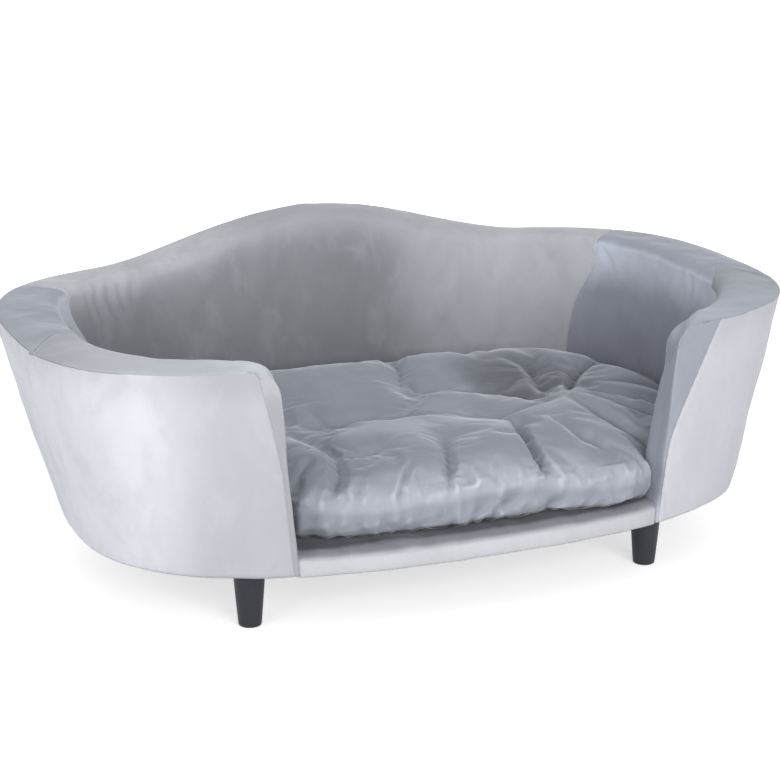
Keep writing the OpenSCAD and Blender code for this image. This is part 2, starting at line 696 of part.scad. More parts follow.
function gather(a, t) = gather_h * cos(gathers * a) * bell(t, gather_share, gather_spread_share)
    + fold_h * cos(folds * a + fold_turn) * bell(t, fold_share, fold_spread_share);
function belly(t) = let (u = max((t - flat_share) / (1 - flat_share), 0))
    1 - pow(1 - pow(u, belly_share), 1 / belly_share);
// Rings of the upper and lower faces, e under the cloth
function upper_rings(e) = let (k = 1 - e / (cushion_w / 2), v = 1 - e / crown_h)
    [for (t = ring_shares) [for (c = [0 : cushion_cols - 1]) let (a = 360 * c / cushion_cols, p = rim(a))
        [p[0] * t * k, plan_y + p[1] * t * k, seam_z + v * (crown(t) + gather(a, t))]]];
function lower_rings(e) = let (k = 1 - e / (cushion_w / 2), v = 1 - e / (seam_z - cushion_low))
    [for (t = ring_shares) [for (c = [0 : cushion_cols - 1]) let (a = 360 * c / cushion_cols, p = rim(a))
        [p[0] * t * k, plan_y + p[1] * t * k, seam_z - v * (seam_z - cushion_low) * (1 - belly(t))]]];

module cushion_top_cover() {
    color(velvet)
        disc(upper_rings(0), upper_rings(cushion_cover_t));
}

// The zip lies in a pleat of the underside
pleat_half = 13;
pleat_end = 8;
pleat_h = 3.2;
zip_tape_t = 0.8;
zip_tape_in = 0.8;
coil_half = 3;
coil_h = 1.7;
tape_z = cushion_low + pleat_h;
pleat_x = zip_len / 2 + pleat_end;
module zip_box(x_half, y_half, low, high) {
    translate([-x_half, plan_y + zip_y - y_half, low])
        cube([2 * x_half, 2 * y_half, high - low]);
}

module cushion_bottom_cover() {
    wall = pleat_half + cushion_cover_t;
    color(velvet_deep)
        difference() {
            union() {
                disc(lower_rings(cushion_cover_t), lower_rings(0));
                zip_box(pleat_x + cushion_cover_t, wall, cushion_low, tape_z);
            }
            zip_box(pleat_x, pleat_half, cushion_low - cut, tape_z + cut);
        }
}

slider_room = 5;
module cushion_fill() {
    e = cushion_cover_t + soft_gap;
    room = pleat_half + cushion_cover_t + soft_gap;
    color(foam)
        difference() {
            disc(upper_rings(e), lower_rings(e));
            zip_box(pleat_x + cushion_cover_t + soft_gap, room, cushion_low - cut, tape_z + slider_room);
        }
}

module zip_tapes() {
    wide = pleat_half + cushion_cover_t - zip_tape_in;
    color(dark)
        for (side = [-1, 1])
            translate([0, plan_y + zip_y, tape_z])
                scale([1, side, 1]) {
                    translate([-pleat_x, zip_tape_in, 0])
                        cube([2 * pleat_x, wide, zip_tape_t]);
                    translate([-zip_len / 2, zip_tape_in, zip_tape_t])
                        cube([zip_len, coil_half - zip_tape_in, coil_h]);
                }
}

slider_len = 14;
slider_wing = 1;
slider_half = 5;
bridge_half = 0.45;
bridge_len = 4;
slider_gap = 0.3;
tab_len = 20;
tab_half = 3;
tab_t = 0.9;
slider_x = -zip_len / 2 + slider_len;
module zip_slider() {
    top = tape_z + zip_tape_t + coil_h + slider_gap;
    low = tape_z - slider_gap;
    tab_z = low - slider_wing - tab_t;
    color(steel)
        translate([slider_x, plan_y + zip_y, 0]) {
            translate([-slider_len / 2, -slider_half, top])
                cube([slider_len, 2 * slider_half, slider_wing]);
            translate([-slider_len / 2, -slider_half, low - slider_wing])
                cube([slider_len, 2 * slider_half, slider_wing]);
            translate([-slider_len / 2, -bridge_half, low - slider_wing])
                cube([bridge_len, 2 * bridge_half, top - low + 2 * slider_wing]);
            translate([-slider_len / 2, -tab_half, tab_z])
                cube([tab_len, 2 * tab_half, tab_t]);
        }
}

base_board();
deck_foam();
deck_cover();
front_padding();
dust_cover();
leg_front_left();
leg_front_right();
leg_rear_left();
leg_rear_right();
leg_bolts();
tee_nuts();
foot_glides();
frame_ribs();
top_rail();
crest_rail();
end_post_left();
end_post_right();
outer_panel();
inner_panel();
outer_wadding();
inner_foam_left();
inner_foam_back();
inner_foam_right();
roll_foam_left();
roll_foam_back();
roll_foam_right();
end_foam_left();
end_foam_right();
outer_cover();
back_cover();
side_cover_left();
side_cover_right();
arm_cap_left();
arm_cap_right();
cushion_top_cover();
cushion_bottom_cover();
cushion_fill();
zip_tapes();
zip_slider();
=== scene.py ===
"""Looks of a small velvet tub sofa for a dog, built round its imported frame."""
import math

import bmesh
import bpy
import numpy as np
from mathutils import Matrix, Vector


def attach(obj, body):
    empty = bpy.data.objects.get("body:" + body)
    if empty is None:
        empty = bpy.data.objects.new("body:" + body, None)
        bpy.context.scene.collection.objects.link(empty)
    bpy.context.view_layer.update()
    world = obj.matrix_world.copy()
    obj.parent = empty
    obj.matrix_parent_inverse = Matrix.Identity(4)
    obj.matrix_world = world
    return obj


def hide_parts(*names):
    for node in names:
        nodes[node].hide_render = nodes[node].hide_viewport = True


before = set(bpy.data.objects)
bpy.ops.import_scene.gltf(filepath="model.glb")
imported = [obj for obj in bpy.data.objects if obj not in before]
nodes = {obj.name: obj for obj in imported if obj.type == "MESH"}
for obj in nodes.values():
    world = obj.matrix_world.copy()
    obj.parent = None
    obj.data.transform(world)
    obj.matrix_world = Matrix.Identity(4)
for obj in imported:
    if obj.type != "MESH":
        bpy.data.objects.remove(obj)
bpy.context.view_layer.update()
MM = 0.001

# ---------------------------------------------------------------- wall curves
# Millimetres, in the row frame: the same ovals as the CAD model's wall.
PLAN_Y = -37.9039
LEG_H, DECK, SHOULDER, ARM_H = 85.0, 110.0, 314.0, 326.0
RISE, HUMP_HALF = 51.0, 310.0
# at the foot and at the shoulder: the outer oval's half length, half depth and power
HALF_W, HALF_D, POWER = (425, 485), (265, 294), (2.7, 3.0)
LEAN_BACK, INNER_FORWARD = 33, 6
# the wall's thickness at the front, at the back and at the sides
THICK_FRONT, THICK_BACK, THICK_SIDE = (29, 34), (45, 60), (45, 81)
INNER_FRONT_POWER, INNER_BACK_POWER = 2.5, (3.0, 4.0)
DOOR_HALF, DOOR_WIDENS = 228, 22
# the padded top: its outer edge, its crown and its inner edge, from the arm's height
TOP_OUT, TOP_MID, TOP_IN, TOP_DIP = 1.0, 4.0, -10.0, 7.5
CORNER = 27.0
CORNER_Z = ARM_H + TOP_OUT - CORNER


def mix(a, b, t):
    return a + (b - a) * t


def up(z):
    """Share of the way from the foot of the wall to its shoulder."""
    return (z - LEG_H) / (SHOULDER - LEG_H)


def in_up(z):
    """The same, from the deck."""
    return (z - DECK) / (SHOULDER - DECK)


def smooth(t):
    t = np.clip(t, 0, 1)
    return t * t * (3 - 2 * t)


def door_x(z):
    """Half width of the doorway."""
    return DOOR_HALF + DOOR_WIDENS * up(z)


def oval(kind, z):
    """Half length, front and back half depths, front and back powers, centre's y."""
    a, b, n = (mix(*size, up(z)) for size in (HALF_W, HALF_D, POWER))
    cy = PLAN_Y + LEAN_BACK * up(z)
    if kind == "outer":
        return a, b, b, n, n, cy
    at = in_up(z)
    iy = PLAN_Y - INNER_FORWARD * at
    front = iy - (cy - b) - mix(*THICK_FRONT, at)
    back = cy + b - mix(*THICK_BACK, at) - iy
    return a - mix(*THICK_SIDE, at), front, back, INNER_FRONT_POWER, mix(*INNER_BACK_POWER, at), iy


def front_pt(kind, x, z):
    """The front half's point at distance x from the middle."""
    x, z = np.broadcast_arrays(np.asarray(x, float), np.asarray(z, float))
    a, bf, _, nf, _, cy = oval(kind, z)
    y = cy - bf * np.maximum(1 - (np.abs(x) / a) ** nf, 0) ** (1 / nf)
    return np.stack([x, y, z], -1)


class Curve:
    """Points of one half of an oval, by share of its length from x_start to the back's middle."""

    LOW, HIGH, STEP, COUNT, FINE = 80.0, 384.0, 4.0, 700, 1400

    def __init__(self, kind, x_start):
        zs = np.arange(self.LOW, self.HIGH + self.STEP / 2, self.STEP)
        share = np.linspace(0, 1, self.COUNT)
        self.table = np.zeros((len(zs), self.COUNT, 2))
        self.zs, self.lengths = zs, np.zeros(len(zs))
        for k, z in enumerate(zs):
            a, bf, bb, nf, nb, cy = oval(kind, z)
            p0 = front_pt(kind, x_start(z), z)
            t = np.linspace(math.atan2(p0[1] - cy, p0[0]), math.pi / 2, self.FINE)
            c, s = np.abs(np.cos(t)), np.abs(np.sin(t))
            b, n = np.where(t < 0, bf, bb), np.where(t < 0, nf, nb)
            r = ((c / a) ** n + (s / b) ** n) ** (-1 / n)
            x, y = r * np.cos(t), cy + r * np.sin(t)
            length = np.concatenate([[0], np.cumsum(np.hypot(np.diff(x), np.diff(y)))])
            self.lengths[k] = length[-1]
            length /= length[-1]
            self.table[k, :, 0] = np.interp(share, length, x)
            self.table[k, :, 1] = np.interp(share, length, y)

    def __call__(self, lam, z):
        lam, z = np.broadcast_arrays(np.asarray(lam, float), np.asarray(z, float))
        rows, cols = self.table.shape[:2]
        fz = np.clip((z - self.LOW) / self.STEP, 0, rows - 1.001)
        fl = np.clip(lam, 0, 1) * (cols - 1.001)
        iz, il = fz.astype(int), fl.astype(int)
        tz, tl = (fz - iz)[..., None], (fl - il)[..., None]
        t = self.table
        xy = (t[iz, il] * (1 - tz) * (1 - tl) + t[iz + 1, il] * tz * (1 - tl)
              + t[iz, il + 1] * (1 - tz) * tl + t[iz + 1, il + 1] * tz * tl)
        return np.concatenate([xy, z[..., None]], -1)


def hump(x):
    """Rise of the back's top over the arms."""
    level = np.clip((1 + np.cos(np.pi * np.clip(np.abs(x) / HUMP_HALF, 0, 1))) / 2, 0, 1)
    return (RISE - 1) * level ** 0.9


def swell(s):
    """A full round profile across a padded strip."""
    return np.sqrt(np.maximum(1 - np.abs(2 * s - 1) ** 3.2, 0))


def dome(s):
    """Height of the padded top over the arm's height, at share s across it."""
    s = np.asarray(s, float)
    rise = TOP_MID - (TOP_MID - TOP_OUT) * (1 - np.clip(s / 0.5, 0, 1)) ** 2
    past = np.clip((s - 0.5) / 0.5, 0, 1)
    return rise - (TOP_MID - TOP_IN) * (1 - np.sqrt(np.maximum(1 - past ** 4, 0)))


def dome_over_chord(s):
    """The same, over the straight line between the top's two edges."""
    return dome(s) - mix(TOP_OUT, TOP_IN, np.asarray(s, float))


# Seams beside the doorway: insets from the doorway's line, by height
def end_edge(z):
    """The outer edge of the arm's end."""
    return -1.0 - 2.6 * smooth((np.asarray(z, float) - 195) / 100)


CORNER_IN = CORNER + float(end_edge(CORNER_Z))


def inner_inset(z, side):
    """The inner edge of the arm's end: it sweeps back in a wide curve at one arm, in a small one at
    the other, which is stuffed fuller."""
    z = np.asarray(z, float)
    low, high, power, reach = (186, 312, 2.15, 88) if side > 0 else (268, 320, 2.4, 47)
    u = np.clip((z - low) / (high - low), 0, 1)
    return 3.5 + 4 * smooth((z - 165) / 60) + reach * (1 - (1 - u ** power) ** (1 / power))


def outer_inset(z, side):
    """The seam between the outer cover and the arm's end, which slants away as it climbs."""
    z = np.asarray(z, float)
    start, least, rate, ease = (190, 1.0, 0.215, 18) if side > 0 else (215, 3.0, 0.065, 14)
    run = z - start
    slant = least + rate * (run + np.sqrt(run ** 2 + ease ** 2))
    drop = np.clip(z - CORNER_Z, 0, CORNER)
    return np.maximum(slant, CORNER_IN - np.sqrt(CORNER ** 2 - drop ** 2))


# where the arm's end runs into the top, at the inner and the outer face
INNER_TOP = {1: 308.5, -1: 316.0}
OUT_TOP = ARM_H + TOP_OUT
UO = Curve("outer", lambda z: door_x(z) + CORNER_IN)
UI = Curve("inner", lambda z: door_x(z) + float(inner_inset(min(z, INNER_TOP[-1]), -1)))
OC = {side: Curve("outer", lambda z, i=side: door_x(z) + float(outer_inset(min(z, OUT_TOP), i)))
      for side in (1, -1)}


def top_of(lam):
    """The arm's height, with the back's hump on it."""
    p = UO(lam, ARM_H)
    return ARM_H + np.where(p[..., 1] > PLAN_Y + LEAN_BACK, hump(p[..., 0]), 0)


def front_lam(z, side):
    """Share of the inner face's length at which its cover starts, beside the arm's end."""
    if side < 0:
        return 0.0
    z = np.asarray(z, float)
    here, there = (inner_inset(np.minimum(z, INNER_TOP[i]), i) for i in (1, -1))
    return np.maximum(here - there, 0) / np.interp(z, UI.zs, UI.lengths)


# the wall's half length, and how far back the dip in the top reaches
HALF_LENGTH, DIP_REACH = 900, 45
TOP_START = {side: float(front_lam(INNER_TOP[1], side)) for side in (1, -1)}


def dip_at(lam, side):
    """How far the top falls towards the inner edge of the arm that isn't stuffed so full."""
    if side < 0:
        return 0 * lam
    return TOP_DIP * np.exp(-np.maximum(lam - TOP_START[1], 0) * HALF_LENGTH / DIP_REACH)


def top_pt(lam, s, side):
    """The padded top, at share s across it."""
    s = np.asarray(s, float)
    z = top_of(lam) + dome(s) - dip_at(lam, side) * s
    return mix(UO(lam, z), UI(lam, z), s[..., None] if np.ndim(s) else s)


# ---------------------------------------------------------------- noise
def waves(seed, low, high, count=28, stretch=(1, 1, 1)):
    """A smooth seeded noise of position: a sum of sine waves of low to high wavelengths, mm."""
    g = np.random.default_rng(seed)
    d = g.normal(size=(count, 3))
    d /= np.linalg.norm(d, axis=1)[:, None]
    k = 2 * np.pi / np.exp(g.uniform(np.log(low), np.log(high), count))
    d = d * k[:, None] / np.array(stretch)
    phase = g.uniform(0, 2 * np.pi, count)

    def at(p):
        return np.sin(p @ d.T + phase).sum(-1) / math.sqrt(count / 2)
    return at


# ---------------------------------------------------------------- meshes
def shade_smooth(obj):
    obj.data.polygons.foreach_set("use_smooth", [True] * len(obj.data.polygons))


def edit_mesh(obj, change):
    """Runs a change on an object's mesh through bmesh."""
    bm = bmesh.new()
    bm.from_mesh(obj.data)
    change(bm)
    bm.to_mesh(obj.data)
    bm.free()


def new_object(name, verts, faces):
    mesh = bpy.data.meshes.new(name)
    points = np.asarray(verts, float) * MM
    mesh.from_pydata([tuple(v) for v in points], [], [tuple(f) for f in faces])
    mesh.validate()
    mesh.update()
    obj = bpy.data.objects.new(name, mesh)
    bpy.context.scene.collection.objects.link(obj)
    shade_smooth(obj)
    return obj


def grid_faces(rows, cols, start=0, keep=None):
    """Four-sided faces of a grid of vertices, all of them or those to keep."""
    r, c = np.meshgrid(np.arange(rows - 1), np.arange(cols - 1), indexing="ij")
    a = start + r * cols + c
    f = np.stack([a, a + 1, a + cols + 1, a + cols], -1)
    if keep is not None:
        f = f[keep]
    return f.reshape(-1, 4)


def grid_normals(g):
    """Unit normals of a grid of points."""
    du = np.gradient(g, axis=0)
    dv = np.gradient(g, axis=1)
    n = np.cross(du, dv)
    return n / np.maximum(np.linalg.norm(n, axis=-1, keepdims=True), 1e-9)


def mirrored(g):
    return g * np.array([-1, 1, 1])


def edge_distance(g, axis, first=True, last=True):
    """Distance in mm of each grid point from the grid's first and last line across an axis."""
    step = np.linalg.norm(np.diff(g, axis=axis), axis=-1)
    zero = np.zeros_like(np.take(step, [0], axis=axis))
    run = np.concatenate([zero, np.cumsum(step, axis=axis)], axis=axis)
    total = np.take(run, [-1], axis=axis)
    far = np.full_like(run, 1e6)
    if first:
        far = np.minimum(far, run)
    if last:
        far = np.minimum(far, total - run)
    return far


def seam_distance(g, axis, margin, at_end=False):
    """Distance from a seam that lies a margin of lines in from the grid's first or last line across
    an axis, and 0 in the margin."""
    size = g.shape[axis]
    lines = range(0, size - margin) if at_end else range(margin, size)
    run = edge_distance(np.take(g, lines, axis), axis, first=not at_end, last=at_end)
    pad = [(0, 0), (0, 0)]
    pad[axis] = (0, margin) if at_end else (margin, 0)
    return np.pad(run, pad)


def tuck(dist, depth=1.7, reach=3.2):
    """How far cloth sinks where it is sewn or folded in, at a distance from the seam."""
    return -depth * np.exp(-(dist / reach) ** 2)


def set_painted_light(obj, name, values):
    """A value for each vertex, which the material reads by name: a mask of painted light or shade.
    """
    layer = obj.data.attributes.new(name, "FLOAT", "POINT")
    layer.data.foreach_set("value", np.asarray(values, np.float32).reshape(-1))


CLOTH_T = 1.4


def close_shell(obj):
    """Gives a sheet of vertices the cloth's thickness, inwards."""
    solid = obj.modifiers.new("cloth", "SOLIDIFY")
    solid.thickness = CLOTH_T * MM
    solid.offset = -1
    solid.use_rim = True
    solid.use_even_offset = False


def point_outwards(obj, probe):
    """Turns the faces so that the one nearest to probe faces it."""
    m = obj.data
    p = Vector(probe) * MM
    best = min(m.polygons, key=lambda f: (f.center - p).length)
    if best.normal.dot(p - best.center) < 0:
        m.flip_normals()


soft = waves(3, 55, 190)
fine = waves(5, 22, 60)


def uneven(g, amount, fine_amount):
    """How far the padding stands out or in at each point."""
    return amount * soft(g) + fine_amount * fine(g)


# ---------------------------------------------------------------- materials
def new_tree(owner):
    """An empty node tree of a material or a world."""
    owner.use_nodes = True
    owner.node_tree.nodes.clear()
    return Tree(owner.node_tree)


class Tree:
    """Short names for building a node tree."""

    def __init__(self, tree):
        self.t = tree

    def node(self, kind, **values):
        n = self.t.nodes.new(kind)
        for k, v in values.items():
            if k.startswith("in_"):
                key = k[3:]
                n.inputs[int(key) if key.isdigit() else key.replace("_", " ")].default_value = v
            else:
                setattr(n, k, v)
        return n

    def link(self, a, b):
        self.t.links.new(a, b)

    def math(self, op, a, b):
        n = self.node("ShaderNodeMath", operation=op)
        for i, v in enumerate([a, b]):
            if isinstance(v, (int, float)):
                n.inputs[i].default_value = v
            else:
                self.link(v, n.inputs[i])
        return n.outputs[0]

    def ramp(self, value, stops):
        n = self.node("ShaderNodeValToRGB")
        e = n.color_ramp.elements
        while len(e) < len(stops):
            e.new(0.5)
        for item, (pos, col) in zip(e, stops):
            item.position = pos
            item.color = (*col, 1)
        self.link(value, n.inputs[0])
        return n.outputs[0]

    def noise(self, vec, scale, detail=3.0, rough=0.5, distort=0.0):
        n = self.node("ShaderNodeTexNoise", in_Scale=scale, in_Detail=detail,
                      in_Roughness=rough, in_Distortion=distort)
        self.link(vec, n.inputs["Vector"])
        return n.outputs["Fac"]

    def mapping(self, vec, scale=(1, 1, 1), location=(0, 0, 0)):
        n = self.node("ShaderNodeMapping", in_Scale=scale, in_Location=location)
        self.link(vec, n.inputs["Vector"])
        return n.outputs[0]

    def two_colours(self, a, b, fac=None, blend="MIX"):
        """Mixes two colours by a factor, or else blends them fully."""
        n = self.node("ShaderNodeMix", data_type="RGBA", blend_type=blend)
        if fac is None:
            n.inputs[0].default_value = 1.0
        else:
            self.link(fac, n.inputs[0])
        for v, i in ((a, 6), (b, 7)):
            if isinstance(v, tuple):
                n.inputs[i].default_value = (*v, 1)
            else:
                self.link(v, n.inputs[i])
        return n.outputs[2]

    def times(self, a, b):
        return self.two_colours(a, b, blend="MULTIPLY")

    def dimmed(self, colour, level):
        """A colour times a grey level."""
        n = self.node("ShaderNodeCombineColor")
        for i in range(3):
            self.link(level, n.inputs[i])
        return self.times(colour, n.outputs[0])

    def span(self, value, start, end, low, high):
        """Goes smoothly from low at start to high at end."""
        n = self.node("ShaderNodeMapRange", interpolation_type="SMOOTHSTEP")
        for name, v in (("From Min", start), ("From Max", end), ("To Min", low), ("To Max", high)):
            n.inputs[name].default_value = v
        self.link(value, n.inputs["Value"])
        return n.outputs[0]

    def bump(self, height, strength, distance, over=None):
        n = self.node("ShaderNodeBump", in_Strength=strength, in_Distance=distance)
        self.link(height, n.inputs["Height"])
        if over is not None:
            self.link(over, n.inputs["Normal"])
        return n.outputs[0]

    def shown(self):
        """1 for rays that show the background itself: straight, mirrored or refracted."""
        path = self.node("ShaderNodeLightPath").outputs
        return self.math("MAXIMUM", path["Is Camera Ray"],
                         self.math("MAXIMUM", path["Is Glossy Ray"], path["Is Transmission Ray"]))

    def finish(self, kind, shader):
        self.link(shader.outputs[0], self.node(kind).inputs[0])


def linear(colour):
    """Linear colour of sRGB values from 0 to 255."""
    return tuple(c / 12.92 if c <= 0.04045 else ((c + 0.055) / 1.055) ** 2.4
                 for c in (v / 255 for v in colour))


def velvet(name, front, top, side, streak=(1, 1, 0.3), sheen=0.45, shift=0.0, patch=1.0,
           spread=0.09, edges=0.0, fade=(), painted_marks=()):
    """Short-pile velvet. Its colour is painted lighter or darker by facing: faces that look
    forwards, upwards and sideways each get their own colour, as painted light and shade. The nap is
    pressed flat in soft patches and strokes; along folds it gets painted shade in the valleys and a
    painted highlight on the ridges. A fade is an axis, two places on it and the level at the
    second, and paints shade or light along that axis. The last argument lists mesh attributes with
    the level that each sets, as painted shade, shadow or highlight."""
    m = bpy.data.materials.new(name)
    t = new_tree(m)
    texture = t.node("ShaderNodeTexCoord").outputs
    coord = texture["Object"]
    # painted light and shade by facing: one colour for faces that look forwards, one for upwards,
    # one for sideways
    facing = t.node("ShaderNodeSeparateXYZ")
    t.link(texture["Normal"], facing.inputs[0])
    forwards = t.span(t.math("MULTIPLY", facing.outputs[1], -1.0), 0.25, 0.85, 0, 1)
    upwards = t.span(facing.outputs[2], 0.40, 0.92, 0, 1)
    colour = t.two_colours(linear(side), linear(top), upwards)
    colour = t.two_colours(colour, linear(front), forwards)
    # the nap: broad strokes, patches and fine mottling
    at = t.mapping(coord, location=(shift, shift * 0.7, shift * 1.3))
    big = t.noise(t.mapping(at, scale=streak), 7.0 * patch, 4.0, 0.55, 0.8)
    small = t.noise(t.mapping(at, scale=(1, 1, 0.55)), 26.0 * patch, 3.0, 0.6, 0.5)
    fine_n = t.noise(at, 95.0, 2.0, 0.6)
    pile = t.noise(at, 1500.0, 1.0, 0.5)
    nap = t.math("ADD", t.math("MULTIPLY", big, 0.62),
                 t.math("ADD", t.math("MULTIPLY", small, 0.28), t.math("MULTIPLY", fine_n, 0.10)))
    shades = (0.36, 1 - 2 * spread), (0.50, 1 - spread), (0.64, 1.0)
    colour = t.times(colour, t.ramp(nap, [(at_nap, (level,) * 3) for at_nap, level in shades]))
    colour = t.times(colour, t.ramp(pile, [(0.25, (0.93,) * 3), (0.75, (1.0,) * 3)]))
    # painted light and shade: darker or lighter along an axis, and where mesh attributes mark
    # painted shade, shadow or highlight
    place = t.node("ShaderNodeSeparateXYZ")
    t.link(coord, place.inputs[0])
    for axis, start, end, level in fade:
        colour = t.dimmed(colour, t.span(place.outputs[axis], start, end, 1, level))
    for attribute, level in painted_marks:
        where = t.node("ShaderNodeAttribute", attribute_name=attribute).outputs["Fac"]
        where = t.math("MULTIPLY", where, t.span(small, 0.30, 0.60, 0.6, 1.0))
        colour = t.dimmed(colour, t.span(where, 0.0, 1.0, 1, level))
    # painted shade in the valleys of folds and a painted highlight on their ridges, by pointiness
    if edges:
        bend = t.node("ShaderNodeNewGeometry").outputs["Pointiness"]
        dark = t.span(bend, 0.42, 0.497, 1 - 0.9 * edges, 1)
        lit = t.span(bend, 0.508, 0.56, 1, 1 + edges)
        colour = t.dimmed(colour, t.math("MULTIPLY", dark, lit))
    height = t.math("ADD", t.math("MULTIPLY", small, 0.7), t.math("MULTIPLY", fine_n, 0.3))
    bump = t.bump(height, 0.35, 0.0016)
    b = t.node("ShaderNodeBsdfPrincipled", in_Specular_IOR_Level=0.2, in_Sheen_Weight=sheen,
               in_Sheen_Roughness=0.38, in_Sheen_Tint=(0.92, 0.94, 1.0, 1))
    t.link(colour, b.inputs["Base Color"])
    t.link(t.ramp(nap, [(0.35, (0.86,) * 3), (0.65, (0.68,) * 3)]), b.inputs["Roughness"])
    t.link(t.bump(pile, 0.25, 0.0003, bump), b.inputs["Normal"])
    t.finish("ShaderNodeOutputMaterial", b)
    return m


def simple(name, base, other, scale=40.0, rough=0.5, metallic=0.0, bump=0.2, distance=0.0005,
           stretch=(1, 1, 1)):
    """A plain procedural finish: two colours in a noise, with a light bump."""
    m = bpy.data.materials.new(name)
    t = new_tree(m)
    coord = t.mapping(t.node("ShaderNodeTexCoord").outputs["Object"], scale=stretch)
    n = t.noise(coord, scale, 5.0, 0.6, 0.4)
    b = t.node("ShaderNodeBsdfPrincipled", in_Metallic=metallic)
    t.link(t.ramp(n, [(0.3, linear(base)), (0.7, linear(other))]), b.inputs["Base Color"])
    rougher = min(rough + 0.12, 1)
    t.link(t.ramp(n, [(0.3, (rough,) * 3), (0.7, (rougher,) * 3)]), b.inputs["Roughness"])
    t.link(t.bump(n, bump, distance), b.inputs["Normal"])
    t.finish("ShaderNodeOutputMaterial", b)
    return m


# the axes of fades
Y, Z = 1, 2
# All the velvet is one fabric. Its colours differ from piece to piece and between the two arms as
# painted light and shade; the fades paint shade and light by height or depth, and the listed
# attributes mark painted shade, shadow and highlight.
M_OUTER = velvet("velvet_outer", (206, 207, 214), (200, 201, 209), (207, 208, 215),
                 streak=(1, 1, 0.35), patch=0.8, spread=0.05, sheen=0.3,
                 fade=((Z, 0.28, 0.325, 0.90),), painted_marks=(("end", 0.80), ("far", 1.24)))
M_SIDE_L = velvet("velvet_side_left", (150, 154, 165), (130, 135, 146), (160, 164, 175), shift=3.1,
                  fade=((Z, 0.30, 0.17, 0.80), (Z, 0.255, 0.312, 1.80)))
M_SIDE_R = velvet("velvet_side_right", (176, 180, 190), (155, 160, 171), (196, 200, 209), shift=3.6,
                  fade=((Z, 0.30, 0.17, 0.86), (Z, 0.265, 0.315, 1.25)))
M_BACK = velvet("velvet_back", (176, 178, 185), (182, 184, 190), (170, 172, 180), shift=5.3,
                spread=0.07, fade=((Z, 0.35, 0.17, 0.70),),
                painted_marks=(("dim", 0.64), ("crest", 1.30), ("lit", 1.16)))
M_CAP_L = velvet("velvet_cap_left", (153, 157, 167), (172, 177, 187), (148, 152, 162), shift=7.7,
                 spread=0.06, painted_marks=(("rear", 0.82), ("seam_highlight", 1.5)),
                 fade=((Z, 0.165, 0.145, 0.80), (Z, 0.125, 0.095, 1.8), (Y, -0.15, -0.22, 1.15)))
M_CAP_R = velvet("velvet_cap_right", (172, 173, 179), (200, 204, 212), (176, 178, 185), shift=8.4,
                 spread=0.05, painted_marks=(("end", 1.22), ("rear", 0.76), ("seam_highlight", 1.35)))
M_DECK = velvet("velvet_deck", (203, 204, 209), (156, 158, 166), (180, 181, 186), shift=9.2,
                streak=(0.3, 1, 1), painted_marks=(("under", 0.20),))
M_CUSHION = velvet("velvet_cushion", (163, 167, 177), (152, 157, 168), (146, 151, 162), shift=11.4,
                   streak=(0.8, 0.8, 0.8), sheen=0.7, patch=0.9, edges=0.5,
                   painted_marks=(("sewn", 1.24), ("below", 0.88), ("foot", 0.16), ("shaded_patch", 0.5)))
M_LEG = simple("leg_plastic", (24, 26, 34), (34, 37, 46), scale=300, bump=0.12, distance=0.0002)
M_GLIDE = simple("glide_plastic", (26, 26, 28), (38, 38, 40), scale=200)
M_PLY = simple("plywood", (196, 164, 118), (222, 194, 150), scale=9, rough=0.65, bump=0.3,
               stretch=(1, 9, 30))
M_HARD = simple("hardboard", (122, 88, 60), (146, 108, 76), scale=160, rough=0.6, bump=0.3)
M_DUST = simple("dust_cloth", (24, 24, 26), (42, 42, 44), scale=700, rough=0.95, bump=0.6,
                distance=0.0004)
M_STEEL = simple("steel", (170, 172, 176), (196, 198, 202), scale=90, rough=0.3, bump=0.1,
                 metallic=1.0)
M_ZIP = simple("zip_tape", (118, 120, 128), (138, 141, 149), scale=900, rough=0.85, bump=0.5,
               distance=0.0003, stretch=(1, 3, 1))


def dress(obj, mat):
    obj.data.materials.clear()
    obj.data.materials.append(mat)


SOFA, CUSHION = "sofa", "cushion"

# ---------------------------------------------------------------- wall pieces
NS = 34
S_ROW = (1 - np.cos(np.pi * np.linspace(0, 1, NS))) / 2
# the top of the frame's panels, which lie close under the cloth
WOOD_TOP = 303


def bell(d, width):
    """1 at distance 0, falling away over a width."""
    return np.exp(-(d / width) ** 2)


def displace(g, n, d):
    return g + n * d[..., None]


def settled(g):
    """The wall's padding has settled: rounder at both ends, lower at the rear of one side."""
    x, y, z = g[..., 0], g[..., 1], g[..., 2]
    above_wood = smooth((z - WOOD_TOP) / 20)
    draw = 3.5 * smooth((np.abs(x) - 425) / 50) * above_wood
    one_end = smooth((-x - 400) / 80) * smooth((z - 190) / 110)
    draw = draw + one_end * (0.8 + (0.8 + 1.6 * above_wood) * smooth((y + 150) / 150))
    sink = 2.4 * smooth((-x - 170) / 150) * smooth((y + 160) / 200) * smooth((z - 250) / 60)
    return np.stack([x - np.sign(x) * draw, y, z - sink], -1)


# Where the outer cover meets the covers of the top, as a share across it
S_SEAM = 0.03


def normals_from(g, inside):
    """Unit normals of a grid, on the side away from a point inside."""
    n = grid_normals(g)
    return n * np.sign((n * (g - np.array(inside))).sum(-1).mean())


def line_of(points):
    """Points of a line on the inner face, given by share of length and height."""
    lam, z = np.array(points, float).T
    at = np.linspace(0, len(lam) - 1, 12 * len(lam))
    idx = np.arange(len(lam))
    return UI(np.interp(at, idx, lam), np.interp(at, idx, z))


